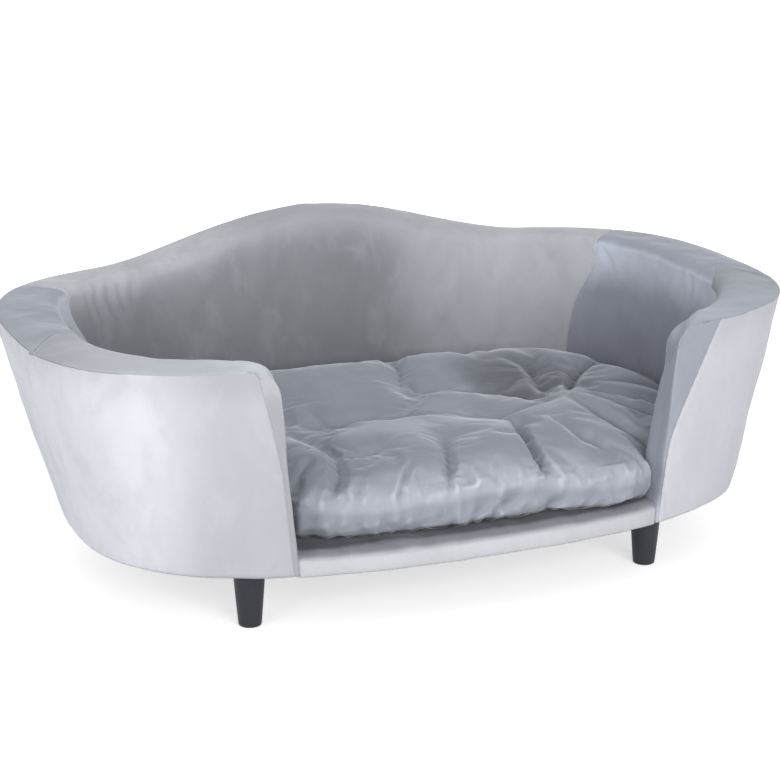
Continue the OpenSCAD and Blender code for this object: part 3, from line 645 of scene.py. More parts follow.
def crease(g, line, depth, width):
    """A fold line pressed into a grid: a narrow valley with a soft lip on each side."""
    lip = 0.35
    flat = g.reshape(-1, 3)
    from_each = [np.linalg.norm(flat - p, axis=1) for p in line]
    d = np.minimum.reduce(from_each)
    ends = np.minimum(from_each[0], from_each[-1])
    fade = 0.35 + 0.65 * smooth(ends / (4 * width))
    cut_in = lip * bell(d - 2.3 * width, 1.3 * width) - bell(d, width)
    return (depth * fade * cut_in).reshape(g.shape[:2])


def calm(d, seam, reach):
    """Lets the unevenness die away towards a seam."""
    return d * np.clip(seam / reach, 0.1, 1)


def grid_object(name, g, keep=None):
    return new_object(name, g.reshape(-1, 3), grid_faces(*g.shape[:2], keep=keep))


SHOULDER_TURN = 2.2


# Outer cover: one grid from one arm's seam round the back to the other arm's seam
def build_outer():
    cols, zrows, shoulder_rows = 470, 70, 5
    lam = np.linspace(0, 1, cols)
    low = top_of(lam) + TOP_OUT - SHOULDER_TURN
    halves = []
    for side in (1, -1):
        rows = [OC[side](lam, mix(LEG_H, low, i / (zrows - 1))) for i in range(zrows)]
        for i in range(1, shoulder_rows + 1):
            turn = i / shoulder_rows * math.pi / 2
            z = low + SHOULDER_TURN * math.sin(turn)
            rows.append(mix(OC[side](lam, z), UI(lam, z), S_SEAM * (1 - math.cos(turn))))
        half = np.array(rows)
        halves.append(half if side > 0 else mirrored(half)[:, -2::-1])
    full = np.concatenate(halves, 1)
    side = edge_distance(full, 1)
    top = edge_distance(full, 0, first=False)
    bottom = edge_distance(full, 0, last=False)
    d = calm(uneven(full, 0.7, 0.18), np.minimum(side, top), 25)
    d += tuck(side, 1.0, 2.2) + tuck(top, 0.6, 1.6) + tuck(bottom, 1.2, 2.4)
    # the padding lies a little flatter at one end
    d -= 1.2 * smooth((-full[..., 0] - 415) / 50) * smooth((full[..., 2] - 140) / 110)
    # faint pulls along the top seam
    run = np.cumsum(np.concatenate([[0], np.linalg.norm(np.diff(full[-1], axis=0), axis=-1)]))
    pucker = waves(41, 26, 60, 16)(np.stack([run, run * 0, run * 0], -1))
    d += 0.10 * pucker[None, :] * bell(top, 12)
    # a shallow pleat at the foot of each arm's end
    for x in (246, -252):
        z = np.linspace(LEG_H + 2, 128, 14)
        foot = front_pt("outer", abs(x) - 0.25 * (z - LEG_H), z)
        foot[:, 0] *= np.sign(x)
        d += crease(full, foot, 0.9, 3.2)
    g = settled(displace(full, normals_from(full, (0, PLAN_Y, 200.0)), d))
    obj = grid_object("outer_velvet", g)
    # for the material: painted shade over the front of one half, easing off towards its arm's end,
    # and painted light round that end
    in_front = (g[..., 0] < 0) & (g[..., 1] < 0)
    set_painted_light(obj, "end", smooth((g[..., 0] + 410) / 130) * in_front)
    set_painted_light(obj, "far", smooth((-g[..., 0] - 300) / 110))
    point_outwards(obj, (0, -900, 250))
    return obj


outer = build_outer()


# Arm cap: rows climb the arm's end, turn its corner and run back along the top to a curved seam
def eased(x, xs, ys, soften):
    """A broken line with its corners rounded."""
    x = np.asarray(x, float)
    return sum(np.interp(x + k * soften, xs, ys) for k in (-2, -1, 0, 1, 2)) / 5


def cap_seam(s):
    """Share of the arm's length at which the cap's rear seam lies, across the top."""
    return eased(s, (0, 0.26, 0.52, 0.66, 0.86, 1.0),
                 (0.266, 0.280, 0.293, 0.290, 0.245, 0.210), 0.03)


END_BULGE = 4.0
# how far in from the doorway's line the frame's panels begin, by height
WOOD_EDGE = ((284, 290, 296, 300, 303, 305), (10.4, 11.8, 16.4, 22.0, 30.5, 60))
# extra fullness of the arm's corner
CORNER_FULL = {1: 0.0, -1: 6.5}
# columns of the cap's grid: flap and its hidden margin, inner hem
# rows: up, round the corner and back, rear hem
CAP_FLAP, CAP_UNDER, CAP_IN = 16, 4, 4
CAP_UP, CAP_TURN, CAP_BACK, CAP_REAR = 70, 26, 110, 3
CAP_FOOT, HEM, FLAP_MARGIN, POST_CLEAR = 0.6, 6, 5.0, 12
# rows over which the flap runs into the top without a seam, and how much the rear seam shows
JOINED = {1: 14, -1: 0}
REAR_SHOWS = {1: 0.35, -1: 1.0}


def end_bulge(xo, x_in, zo, z_in, ang, side):
    """How far a row of the arm's end stands out, and past the corner of its top."""
    # full enough to clear the post and the rail's end inside, which are squarer than the cover
    full = np.maximum(POST_CLEAR * swell(S_ROW) - (POST_CLEAR - xo) * (1 - S_ROW), 0)
    clear = mix(xo, x_in, S_ROW) - np.interp(mix(zo, z_in, S_ROW), *WOOD_EDGE)
    clear = np.maximum(clear, 0) * np.sqrt(1 - np.clip((S_ROW - 0.74) / 0.26, 0, 1) ** 2)
    full = ((END_BULGE * swell(S_ROW)) ** 6 + full ** 6 + clear ** 6) ** (1 / 6)
    bulge = mix(full, dome_over_chord(S_ROW), smooth(ang / (np.pi / 2)))
    at_corner = CORNER_FULL[side] * math.sin(2 * ang) ** 0.8
    return bulge + at_corner * swell(S_ROW) * smooth(S_ROW / 0.4)


def cap_rows(side):
    """The arm cap's grid, and how many of its rows climb the end and turn the corner."""
    low = LEG_H + CAP_FOOT
    zi = np.linspace(low, INNER_TOP[side], 300)
    xi = inner_inset(zi, side)
    li = np.concatenate([[0], np.cumsum(np.hypot(np.diff(zi), np.diff(xi)))])
    z_a = np.linspace(low, CORNER_Z, CAP_UP)
    turn = np.linspace(0, np.pi / 2, CAP_TURN + 1)[1:]
    zo = np.concatenate([z_a, CORNER_Z + CORNER * np.sin(turn)])
    xo = np.concatenate([end_edge(z_a), CORNER_IN - CORNER * np.cos(turn)])
    ang = np.concatenate([z_a * 0, turn])
    lo = np.concatenate([[0], np.cumsum(np.hypot(np.diff(zo), np.diff(xo)))])
    f = lo / lo[-1]
    z_in = np.interp(f * li[-1], li, zi)
    x_in = np.interp(f * li[-1], li, xi)
    steps = np.linspace(0, 1, CAP_IN + 1)[1:]
    rows = []
    for k in range(len(f)):
        o = front_pt("outer", door_x(zo[k]) + xo[k], zo[k])
        i = front_pt("inner", door_x(z_in[k]) + x_in[k], z_in[k])
        bulge = end_bulge(xo[k], x_in[k], zo[k], z_in[k], ang[k], side)
        out = np.array([-math.cos(ang[k]), 0, math.sin(ang[k])])
        strip = mix(o, i, S_ROW[:, None]) + bulge[:, None] * out
        # the flap that wraps onto the outer face, and its hidden margin under the outer cover
        turned = 0 if k < CAP_UP else (f[k] - f[CAP_UP - 1]) / (1 - f[CAP_UP - 1])
        zf = zo[k] if k < CAP_UP else mix(CORNER_Z, OUT_TOP, turned)
        xf = max(float(outer_inset(zf, side)), float(xo[k]))
        fx = np.linspace(door_x(zf) + xf, door_x(zo[k]) + xo[k], CAP_FLAP)
        fz = np.linspace(zf, zo[k], CAP_FLAP)
        margin = FLAP_MARGIN * np.linspace(1, 0, CAP_UNDER, endpoint=False)
        flap = front_pt("outer", np.concatenate([fx[0] + margin, fx]),
                        np.concatenate([fz[0] + 0 * margin, fz]))
        # a hidden margin under the inner face's cover
        hem = front_pt("inner", door_x(z_in[k]) + x_in[k] + HEM * steps * math.cos(ang[k]),
                       z_in[k] - HEM * steps * math.sin(ang[k]))
        rows.append(np.concatenate([flap[:-1], strip, hem]))
    start = TOP_START[side] * S_ROW
    for k in range(1, CAP_BACK + CAP_REAR + 1):
        lam = mix(start, cap_seam(S_ROW), min(k / CAP_BACK, 1)) + 0.004 * max(k - CAP_BACK, 0)
        strip = top_pt(lam, S_ROW, side)
        hem = UI(lam[-1], strip[-1, 2] - HEM * steps)
        rows.append(np.concatenate([np.repeat(strip[:1], CAP_FLAP + CAP_UNDER - 1, 0), strip, hem]))
    return np.array(rows), len(f)


def build_cap(side):
    g, turn_rows = cap_rows(side)
    n = grid_normals(g)
    # the arm's end faces the doorway
    first = CAP_FLAP + CAP_UNDER - 1
    if n[20, first + 1 + NS // 2, 0] > 0:
        n = -n
    # the folded-down columns share their strip's first normal
    n[turn_rows:, :first] = n[turn_rows:, first:first + 1]
    rows, cols = g.shape[:2]
    col, row = np.arange(cols), np.arange(rows)
    outer_run = seam_distance(g, 1, CAP_UNDER)
    inner_run = seam_distance(g, 1, CAP_IN, at_end=True)
    rear_run = seam_distance(g, 0, CAP_REAR, at_end=True)
    d = calm(uneven(g, 0.6, 0.25), np.minimum(np.minimum(outer_run, inner_run), rear_run), 14)
    # no seam where the flap runs over into the top
    past = row - turn_rows
    joined = 1 - smooth((past + 3) / 3) * (1 - smooth((past - JOINED[side]) / 6))
    stitch = 1 + 0.35 * np.cos(2 * np.pi * g[..., 2] / 4.2)
    d += tuck(outer_run, 0.9, 1.9) * joined[:, None] * np.where(row[:, None] < turn_rows, stitch, 1)
    # the inner seam runs out towards the rear one
    runs_out = 1 - (1 - REAR_SHOWS[side]) * bell(rear_run, 16)
    d += (tuck(inner_run, 0.8, 1.6) + 0.9 * bell(inner_run - 2.6, 1.5)) * runs_out
    rear_seam = tuck(rear_run, 0.8, 1.6)
    rear_seam = rear_seam + 0.9 * bell(rear_run - 2.8, 1.6) * np.where(inner_run > 3, 1, 0.4)
    d += rear_seam * REAR_SHOWS[side]
    # the hidden margins sink under their neighbours
    d -= 1.6 * np.clip((CAP_UNDER - col) / CAP_UNDER, 0, 1)[None, :]
    d -= 1.4 * np.clip((col - (cols - 1 - CAP_IN)) / CAP_IN, 0, 1)[None, :]
    d -= 1.4 * np.clip((row - (rows - 1 - CAP_REAR)) / CAP_REAR, 0, 1)[:, None]
    g = displace(g, n, d)
    g = settled(g if side > 0 else mirrored(g))
    obj = grid_object("arm_cap_velvet_left" if side > 0 else "arm_cap_velvet_right", g)
    # for the material: painted light near the top of the arm's end (one arm's material uses it),
    # painted shade towards the rear seam, and a painted highlight along the inner seam and, on one
    # arm, the rear seam
    from_end = np.clip(past / CAP_BACK, -1, 1)[:, None] + 0 * g[..., 0]
    set_painted_light(obj, "end", smooth((from_end + 0.32) / 0.12) * (1 - smooth((from_end + 0.05) / 0.25)))
    set_painted_light(obj, "rear", smooth((from_end - 0.35) / 0.65) * smooth(inner_run / 18))
    seam_highlight = bell(inner_run - 1.8, 1.8) * (row[:, None] < turn_rows + 30) * (inner_run > 0)
    if side < 0:
        seam_highlight = np.maximum(seam_highlight, bell(rear_run - 2.2, 1.8) * (rear_run > 0))
    set_painted_light(obj, "seam_highlight", seam_highlight)
    edit_mesh(obj, lambda bm: bmesh.ops.remove_doubles(bm, verts=bm.verts, dist=0.02 * MM))
    shade_smooth(obj)
    point_outwards(obj, (0, -300, 250))
    return obj


cap_left, cap_right = build_cap(1), build_cap(-1)

# Side and back covers: the inner face, then over the top to the outer seam
SIDE_LAM, I_ROWS, INNER_FOOT = 0.595, 60, DECK - 1.5
TOP_S = [s for s in S_ROW[::-1][1:] if s > S_SEAM] + [S_SEAM]


def back_seam(row, z):
    """Share of the wall's length at which side and back covers meet, by row."""
    if row < I_ROWS:
        return eased(z, (110, 150, 200, 250, 300, 316),
                     (0.598, 0.596, 0.591, 0.577, 0.540, 0.534), 6)
    s = TOP_S[row - I_ROWS]
    return eased(s, (0, 0.5, 1.0), (0.585, 0.558, 0.534), 0.05)


def inner_row(row, lam, side):
    """One row of the inner face, or past it of the top."""
    if row < I_ROWS:
        edge = top_of(lam) + TOP_IN - dip_at(lam, side)
        return UI(lam, mix(INNER_FOOT, edge, row / (I_ROWS - 1)))
    return top_pt(lam, np.full(lam.shape, TOP_S[row - I_ROWS]), side)


def row_height(row):
    """Height of a row at the arms."""
    return mix(INNER_FOOT, ARM_H + TOP_IN, min(row / (I_ROWS - 1), 1))


def build_side(side):
    cols, hem_cols = 300, 3
    lam0 = np.linspace(0, SIDE_LAM, cols)
    j_cap = int(cols * float(cap_seam(1.0)) / SIDE_LAM)
    lam_cap = lam0[j_cap]
    rows = []
    for row in range(I_ROWS + len(TOP_S)):
        start = front_lam(min(row_height(row), INNER_TOP[side]), side)
        lam = lam0 + start * (1 - smooth(lam0 / 0.16))
        if row >= I_ROWS:
            lam += (cap_seam(TOP_S[row - I_ROWS]) - lam_cap) * bell(lam0 - lam_cap, 0.09)
        end = float(back_seam(row, row_height(row)))
        lam += (end - SIDE_LAM) * smooth((lam0 - 0.38) / (SIDE_LAM - 0.38))
        hem = end + 0.0045 * np.arange(1, hem_cols + 1)
        rows.append(inner_row(row, np.concatenate([lam, hem]), side))
    g = np.array(rows)
    n = grid_normals(g)
    if n[20, 150, 0] > 0:
        n = -n
    rows, all_cols = g.shape[:2]
    col = np.arange(all_cols)[None, :]
    front = edge_distance(g[:, :cols], 1, last=False)
    front = np.pad(front, ((0, 0), (0, hem_cols)), constant_values=1e3)
    back = seam_distance(g, 1, hem_cols, at_end=True)
    top = edge_distance(g, 0, first=False)
    # under the cap the cover ends at the inner edge
    edge = np.full(g.shape[:2], 1e6)
    edge[:I_ROWS] = np.where(col < j_cap, edge_distance(g[:I_ROWS], 0, first=False), 1e6)
    cap_line = np.abs(col - j_cap) * np.linalg.norm(
        np.diff(g[:, j_cap - 1:j_cap + 1], axis=1), axis=-1)
    edge = np.minimum(edge, np.where(np.arange(rows)[:, None] >= I_ROWS, cap_line, 1e6))
    seam = np.minimum(np.minimum(front, back), np.minimum(top, edge))
    d = calm(uneven(g, 0.9, 0.3), seam, 20)
    d += tuck(np.minimum(front, edge), 0.7, 1.8) + tuck(back, 1.2, 2.2) + tuck(top, 0.5, 1.5)
    for line, depth, width in SIDE_FOLDS[side]:
        d += crease(g, line_of(line), depth, width)
    d[:, cols:] -= 1.4 * np.arange(1, hem_cols + 1) / hem_cols
    g = displace(g, n, d)
    g = settled(g if side > 0 else mirrored(g))
    keep = np.ones((rows - 1, all_cols - 1), bool)
    keep[I_ROWS - 1:, :j_cap] = False
    obj = grid_object("side_velvet_left" if side > 0 else "side_velvet_right", g, keep)
    edit_mesh(obj, lambda bm: bmesh.ops.delete(
        bm, geom=[v for v in bm.verts if not v.link_faces], context="VERTS"))
    point_outwards(obj, (0, PLAN_Y, 230))
    return obj


# Fold lines of the inner covers: share of length and height, depth, width
SIDE_FOLDS = {
    1: [([(0.292, 316), (0.300, 300), (0.316, 276)], 1.8, 5.0),
        ([(0.246, 306), (0.250, 284), (0.264, 250)], 1.2, 6.0),
        ([(0.527, 316), (0.518, 300), (0.510, 276)], 1.3, 4.0),
        ([(0.128, 296), (0.150, 270), (0.160, 240)], 1.0, 6.0)],
    -1: [([(0.500, 316), (0.495, 300), (0.480, 270)], 1.4, 5.0),
         ([(0.300, 316), (0.306, 296), (0.318, 270)], 1.2, 6.0)],
}
BACK_FOLDS = [([(0.600, 316), (0.606, 298), (0.622, 262)], 1.7, 4.5),
              ([(0.624, 316), (0.635, 290), (0.652, 256)], 1.5, 4.5),
              ([(0.646, 316), (0.652, 298), (0.660, 278)], 1.3, 4.0),
              ([(0.670, 316), (0.673, 300), (0.676, 284)], 0.9, 4.0),
              ([(0.585, 316), (0.588, 304), (0.597, 280)], 1.2, 4.0)]
side_left, side_right = build_side(1), build_side(-1)


def build_back():
    cols = 190
    lam0 = np.linspace(SIDE_LAM, 1, cols)
    rows = []
    for row in range(I_ROWS + len(TOP_S)):
        shift = float(back_seam(row, row_height(row))) - SIDE_LAM
        rows.append(inner_row(row, lam0 + shift * (1 - smooth((lam0 - SIDE_LAM) / 0.2)), 1))
    half = np.array(rows)
    g = np.concatenate([half, mirrored(half)[:, -2::-1]], 1)
    n = grid_normals(g)
    if n[20, cols, 1] > 0:
        n = -n
    side = edge_distance(g, 1)
    top = edge_distance(g, 0, first=False)
    d = calm(uneven(g, 0.9, 0.3), np.minimum(side, top), 20)
    d += tuck(side, 1.2, 2.2) + tuck(top, 0.5, 1.5)
    for line, depth, width in BACK_FOLDS:
        d += crease(g, line_of(line) * [-1, 1, 1], depth, width)
    g = settled(displace(g, n, d))
    obj = grid_object("back_velvet", g)
    # for the material: painted shade low down on one side, painted light along the crest on that
    # side and over the whole other side
    top_z = ARM_H + hump(g[..., 0])
    near_top = np.exp(-(np.maximum(top_z - g[..., 2], 0) / 30) ** 1.4)
    one_side = smooth((g[..., 0] - 40) / 170)
    set_painted_light(obj, "dim", (1 - near_top) * (1 - one_side))
    set_painted_light(obj, "crest", near_top * smooth((-g[..., 0] - 60) / 160))
    set_painted_light(obj, "lit", one_side)
    point_outwards(obj, (0, PLAN_Y, 250))
    return obj


back = build_back()


# ---------------------------------------------------------------- deck and front band
BAND_HALF, EDGE_DROP, EDGE_RUN, DECK_BACK = 236, 11.0, 30.0, 175.0
DOOR_LINE, DECK_SIDE_IN = 231.0, 226.3


def build_deck():
    cols = 220
    x = np.linspace(-BAND_HALF, BAND_HALF, cols)

    def band_row(z, back=0.0):
        p = front_pt("outer", np.abs(x), np.full(cols, z))
        p[:, 1] += back
        return p
    rows = [band_row(z) for z in np.linspace(LEG_H - 1.5, DECK - EDGE_DROP, 12)]
    # a soft edge that falls away to the band
    for a in np.linspace(0, np.pi / 2, 14)[1:]:
        rows.append(band_row(DECK - EDGE_DROP + EDGE_DROP * math.sin(a) ** 1.15,
                             EDGE_RUN * (1 - math.cos(a)) ** 1.6))
    front = np.array(rows)
    # its ends tuck in behind the ends of the arms
    tucked = 1 - smooth((front[..., 2] - DECK + 3) / 3)
    front[..., 0] = x * (1 - 0.030 * tucked)
    # the deck runs back under the cushion, inside the wall
    deck_rows = [np.stack([x, mix(front[-1, :, 1], DECK_BACK, t), np.full(cols, DECK)], -1)
                 for t in np.linspace(0, 1, 70)[1:] ** 1.2]
    g = np.concatenate([front, np.array(deck_rows)])
    n = grid_normals(g)
    if n[-5, cols // 2, 2] < 0:
        n = -n
    side = edge_distance(g, 1)
    bottom = edge_distance(g, 0, last=False)
    d = calm(uneven(g, 0.5, 0.25), side, 12)
    d += 2.2 * np.sin(np.pi * np.clip(bottom / 20, 0, 1)) ** 0.7 * smooth(side / 25)
    d += -2.6 * (1 - smooth(side / 6)) + tuck(bottom, 1.0, 2.0)
    g = displace(g, n, d)
    obj = grid_object("deck_velvet", g)
    # for the material: the shade of the cushion, deeper further in
    far_in = smooth((g[..., 1] - front[0, :, 1] - 12) / 22)
    shade = 0.36 * smooth((g[..., 2] - 101) / 4) + 0.64 * far_in
    set_painted_light(obj, "under", shade * (1 + 0.6 * far_in))
    point_outwards(obj, (0, -900, 300))
    return obj


def build_deck_sides():
    """The deck's cloth beside the doorway's lines, out to the foot of the wall."""
    a, bf, bb, nf, nb, iy = oval("inner", DECK)
    corner_y = front_pt("inner", DOOR_LINE, DECK)[1]
    verts, faces = [], []
    for sign in (1, -1):
        rows = []
        for y in mix(corner_y, DECK_BACK, np.linspace(0, 1, 60)):
            b, n = (bf, nf) if y < iy else (bb, nb)
            wall_x = a * max(1 - (abs(y - iy) / b) ** n, 0) ** (1 / n) + 1.0
            xs = np.linspace(DECK_SIDE_IN, max(wall_x, DECK_SIDE_IN + 0.3), 40)
            rows.append(np.stack([xs * sign, np.full(40, y), np.full(40, DECK - 0.2)], -1))
        part = np.array(rows)
        part[..., 2] += 0.25 * soft(part)
        faces.extend(grid_faces(*part.shape[:2], start=len(verts)).tolist())
        verts.extend(part.reshape(-1, 3).tolist())
    obj = new_object("deck_velvet_sides", verts, faces)
    edit_mesh(obj, lambda bm: [f.normal_flip() for f in bm.faces if f.normal.z < 0])
    return obj


deck, deck_side = build_deck(), build_deck_sides()


# ---------------------------------------------------------------- cushion
SEAM_Z, CUSHION_LOW, CUSHION_TOP = 151.0, 110.3, 211.0
# half width, and depths to the front and to the back
CW, CF, CB = 382.06, 235.0, 227.0
CROWN, SINK = 47.0, 27.0
LIP, ZIP_Y, PLEAT_RISE = 5.5, 58.1, 4.0
# the furthest that the filling moves the cloth
PUFF = 13.0


# How the cushion bulges out through the doorway, more so at the sitter's left, and draws in beside
# the arm: side, distance, and where it starts and ends, each with the run of its slope
BULGES = [(1, 27, 75, 115, 220, 16), (-1, 6, 70, 60, 175, 30), (-1, -9, 207, 14, 240, 20)]


def spow(v, e):
    """A power that keeps the sign."""
    return np.sign(v) * np.abs(v) ** e


def rim(a):
    """The seam in plan, about the plan's centre."""
    front = np.sin(a) < 0
    n = np.where(front, 2.2, 3.0)
    b = np.where(front, CF, CB)
    pull = 1 - 6 * np.cos(2 * a) ** 2 * np.where(front, np.cos(a) ** 2, 1) / CW
    p = np.stack([pull * CW * spow(np.cos(a), 2 / n), pull * b * spow(np.sin(a), 2 / n)], -1)
    for side, out, start, rise, end, fall in BULGES:
        x = side * p[:, 0]
        bulge = out * smooth((x - start) / rise) * (1 - smooth((x - end) / fall))
        p[:, 1] -= np.where(front, bulge, 0)
    return p


RIM_P = rim(np.linspace(0, 2 * np.pi, 4001))
RIM_RUN = np.concatenate([[0], np.cumsum(np.linalg.norm(np.diff(RIM_P, axis=0), axis=1))])
RIM_TURN = np.unwrap(np.arctan2(RIM_P[:, 1], RIM_P[:, 0]))
RIM_R = np.linalg.norm(RIM_P, axis=1)


def rim_at(q):
    """Rim point at a share of its length."""
    run = (q % 1.0) * RIM_RUN[-1]
    return np.stack([np.interp(run, RIM_RUN, column) for column in RIM_P.T], -1)


def share_out(x, y):
    """How far out towards the rim a plan point lies."""
    turn = np.arctan2(y - PLAN_Y, x) % (2 * np.pi)
    return np.hypot(x, y - PLAN_Y) / np.interp(turn, RIM_TURN, RIM_R)


def seam_height(x, y):
    """The seam rises a little in the middle of the front and falls to the sitter's left."""
    front = y < PLAN_Y
    z = SEAM_Z + 3.0 * bell(x - 20, 60) - 8.0 * smooth((x - 60) / 90)
    return np.where(front, z, SEAM_Z)


def crown(t):
    """Height of the top over the seam, plump round the edge and hollow in the middle."""
    hollow = np.maximum(1 - (t / 0.82) ** 2, 0) ** 1.5
    return CROWN * np.sqrt(np.maximum(1 - t ** 4.5, 0)) - SINK * hollow


def belly(t, front):
    """Rise of the underside to the seam, steep at the front."""
    start, power = mix(0.86, 0.955, front), mix(2.1, 3.0, front)
    u = np.clip((t - start) / (1 - start), 0, 1)
    return 1 - (1 - u ** power) ** (1 / power)


# Creases of the upper cloth, in plan, with depth and width
CREASES = [
    ([(102, -140), (93, -185), (85, -228), (84, -252), (88, -272)], 16, 6.0),
    ([(-2, -172), (-18, -213), (-28, -245), (-35, -269)], 11, 6.5),
    ([(-157, -135), (-146, -190), (-157, -230), (-172, -256)], 11, 7),
    ([(-146, -192), (-118, -198), (-88, -188)], 7, 6),
    ([(196, -84), (172, -112), (153, -160), (156, -212), (176, -246)], 9, 7),
    ([(198, -86), (208, -140), (226, -184), (252, -222)], 10, 7),
    ([(186, -106), (209, -80), (234, -36), (262, 4), (292, 36), (322, 50), (346, 34)], 17, 6.0),
    ([(196, -80), (172, -46), (150, -22), (124, 2)], 11, 7),
    ([(197, -80), (200, -34), (206, 8), (220, 56)], 10, 8),
    ([(192, -86), (156, -102), (118, -112), (80, -106)], 10, 7),
    ([(214, -86), (254, -78), (296, -88), (336, -106)], 9, 6),
    ([(216, -90), (260, -118), (300, -150), (326, -168)], 7, 5.5),
    ([(-160, -58), (-196, -6), (-236, 62)], 9, 12),
    ([(-158, -56), (-150, 6), (-150, 70)], 6, 13),
    ([(-164, -62), (-224, -84), (-300, -84)], 9, 11),
    ([(-152, -62), (-92, -40), (-20, -46)], 7, 12),
    ([(-158, -64), (-155, -104), (-157, -136)], 7, 10),
    ([(-168, -72), (-214, -122), (-252, -178)], 8, 10),
    ([(30, 40), (52, 96), (60, 150)], 6, 12),
    ([(-216, -150), (-214, -196), (-213, -238)], 14, 9),
]
# Low folds of the under side that show at the front: place on the seam, then at the deck
LOW_FOLDS = [
    ((54, -273), (4, -262), 8, 6), ((112, -279), (86, -274), 7, 6),
    ((-36, -270), (-34, -264), 6, 5), ((150, -276), (128, -268), 5, 5),
    ((-112, -266), (-118, -258), 4, 6), ((14, -272), (-14, -264), 6, 6),
    ((-172, -254), (-166, -246), 5, 6), ((196, -264), (176, -258), 5, 6),
    ((-70, -270), (-74, -262), 3, 6)]


def polyline(points):
    """Close points along a line with rounded corners."""
    step = 2.0
    pts = [np.array(p, float) for p in points]
    out = []
    for a, b in zip(pts[:-1], pts[1:]):
        n = max(int(np.linalg.norm(b - a) / step), 1)
        out += [a + (b - a) * k / n for k in range(n)]
    out.append(pts[-1])
    out = np.array(out)
    for _ in range(14):
        out[1:-1] = (out[:-2] + out[1:-1] * 2 + out[2:]) / 4
    return out


def upper_height(x, y):
    t = np.minimum(share_out(x, y), 1)
    return seam_height(x, y) + crown(t)


def valley(verts, line, depth, width, taper):
    """Depth of a crease at each vertex: a sharp valley between slightly raised lips."""
    diff = verts[:, None, :] - line[None, :, :]
    dist = np.sqrt((diff ** 2).sum(-1))
    near = dist.argmin(1)
    d = dist[np.arange(len(verts)), near]
    f = near / max(len(line) - 1, 1)
    along = smooth(f / taper[0] + 0.15) * smooth((1 - f) / taper[1] + 0.35)
    cut_in = np.exp(-(d / width)) * 0.75 + bell(d, 2.4 * width) * 0.25
    lip = 0.22 * bell(d - 2.2 * width, 1.1 * width)
    return depth * along * (cut_in - lip), d


def press(sunk, pin, part, verts, line, fold, hold, taper=(0.35, 0.25)):
    """Sinks a fold into part of the cushion's cloth and pins its bottom."""
    v, d = valley(verts[part], line, *fold, taper)
    sunk[part] = np.maximum(sunk[part], v) + np.minimum(v, 0)
    level, width = hold
    pin[part] = np.maximum(pin[part], level * bell(d, width))


def gathers(verts, layer, t, q, at_front):
    """Short pleats square to the seam, at uneven places, on both cloths."""
    g = np.random.default_rng(77)
    whole = RIM_RUN[-1]
    place = 0.0
    while place < whole:
        place += g.uniform(16, 46)
        for lay in (0, 1):
            deep, wide, reach = g.uniform(1.2, 3.4), g.uniform(3.0, 6.0), g.uniform(0.035, 0.10)
            off = q * whole - place - g.uniform(-8, 8) + (1 - t) * g.uniform(-160, 160)
            off = (off + whole / 2) % whole - whole / 2
            pleat = deep * (bell(off, wide) - 0.45 * bell(np.abs(off) - 2 * wide, wide))
            pleat *= bell(1 - t, reach) * smooth((1 - t) / 0.012)
            if lay:
                pleat *= mix(1, smooth((verts[:, 2] - CUSHION_LOW - 4) / 12), at_front)
            yield np.where(layer == lay, pleat, 0)


def round_ring(i, j, k):
    """Share of the way round ring k of a square net."""
    if k == 0:
        return 0.0
    if i == k and j >= 0:
        return j / (8 * k)
    if j == k:
        return (2 * k - i) / (8 * k)
    if i == -k:
        return (4 * k - j) / (8 * k)
    if j == -k:
        return (6 * k + i) / (8 * k)
    return (8 * k + j) / (8 * k)


def cushion_net(n=60):
    """Both cloths as square nets that share their rim: each vertex's layer, share of the way out
    and share of the way round, and the faces."""
    idx, rows, faces = {}, [], []
    for layer in (0, 1):
        for i in range(-n, n + 1):
            for j in range(-n, n + 1):
                k = max(abs(i), abs(j))
                if layer and k == n:
                    continue
                idx[layer, i, j] = len(rows)
                out = 1 - (1 - k / n) ** (1.9 if layer else 1.3)
                rows.append((layer, out, round_ring(i, j, k)))
    for layer in (0, 1):
        for i in range(-n, n):
            for j in range(-n, n):
                corner = [(i, j), (i + 1, j), (i + 1, j + 1), (i, j + 1)]
                f = [idx[(0 if max(abs(a), abs(b)) == n else layer), a, b] for a, b in corner]
                faces.append(f if layer == 0 else f[::-1])
    return np.array(rows).T, faces


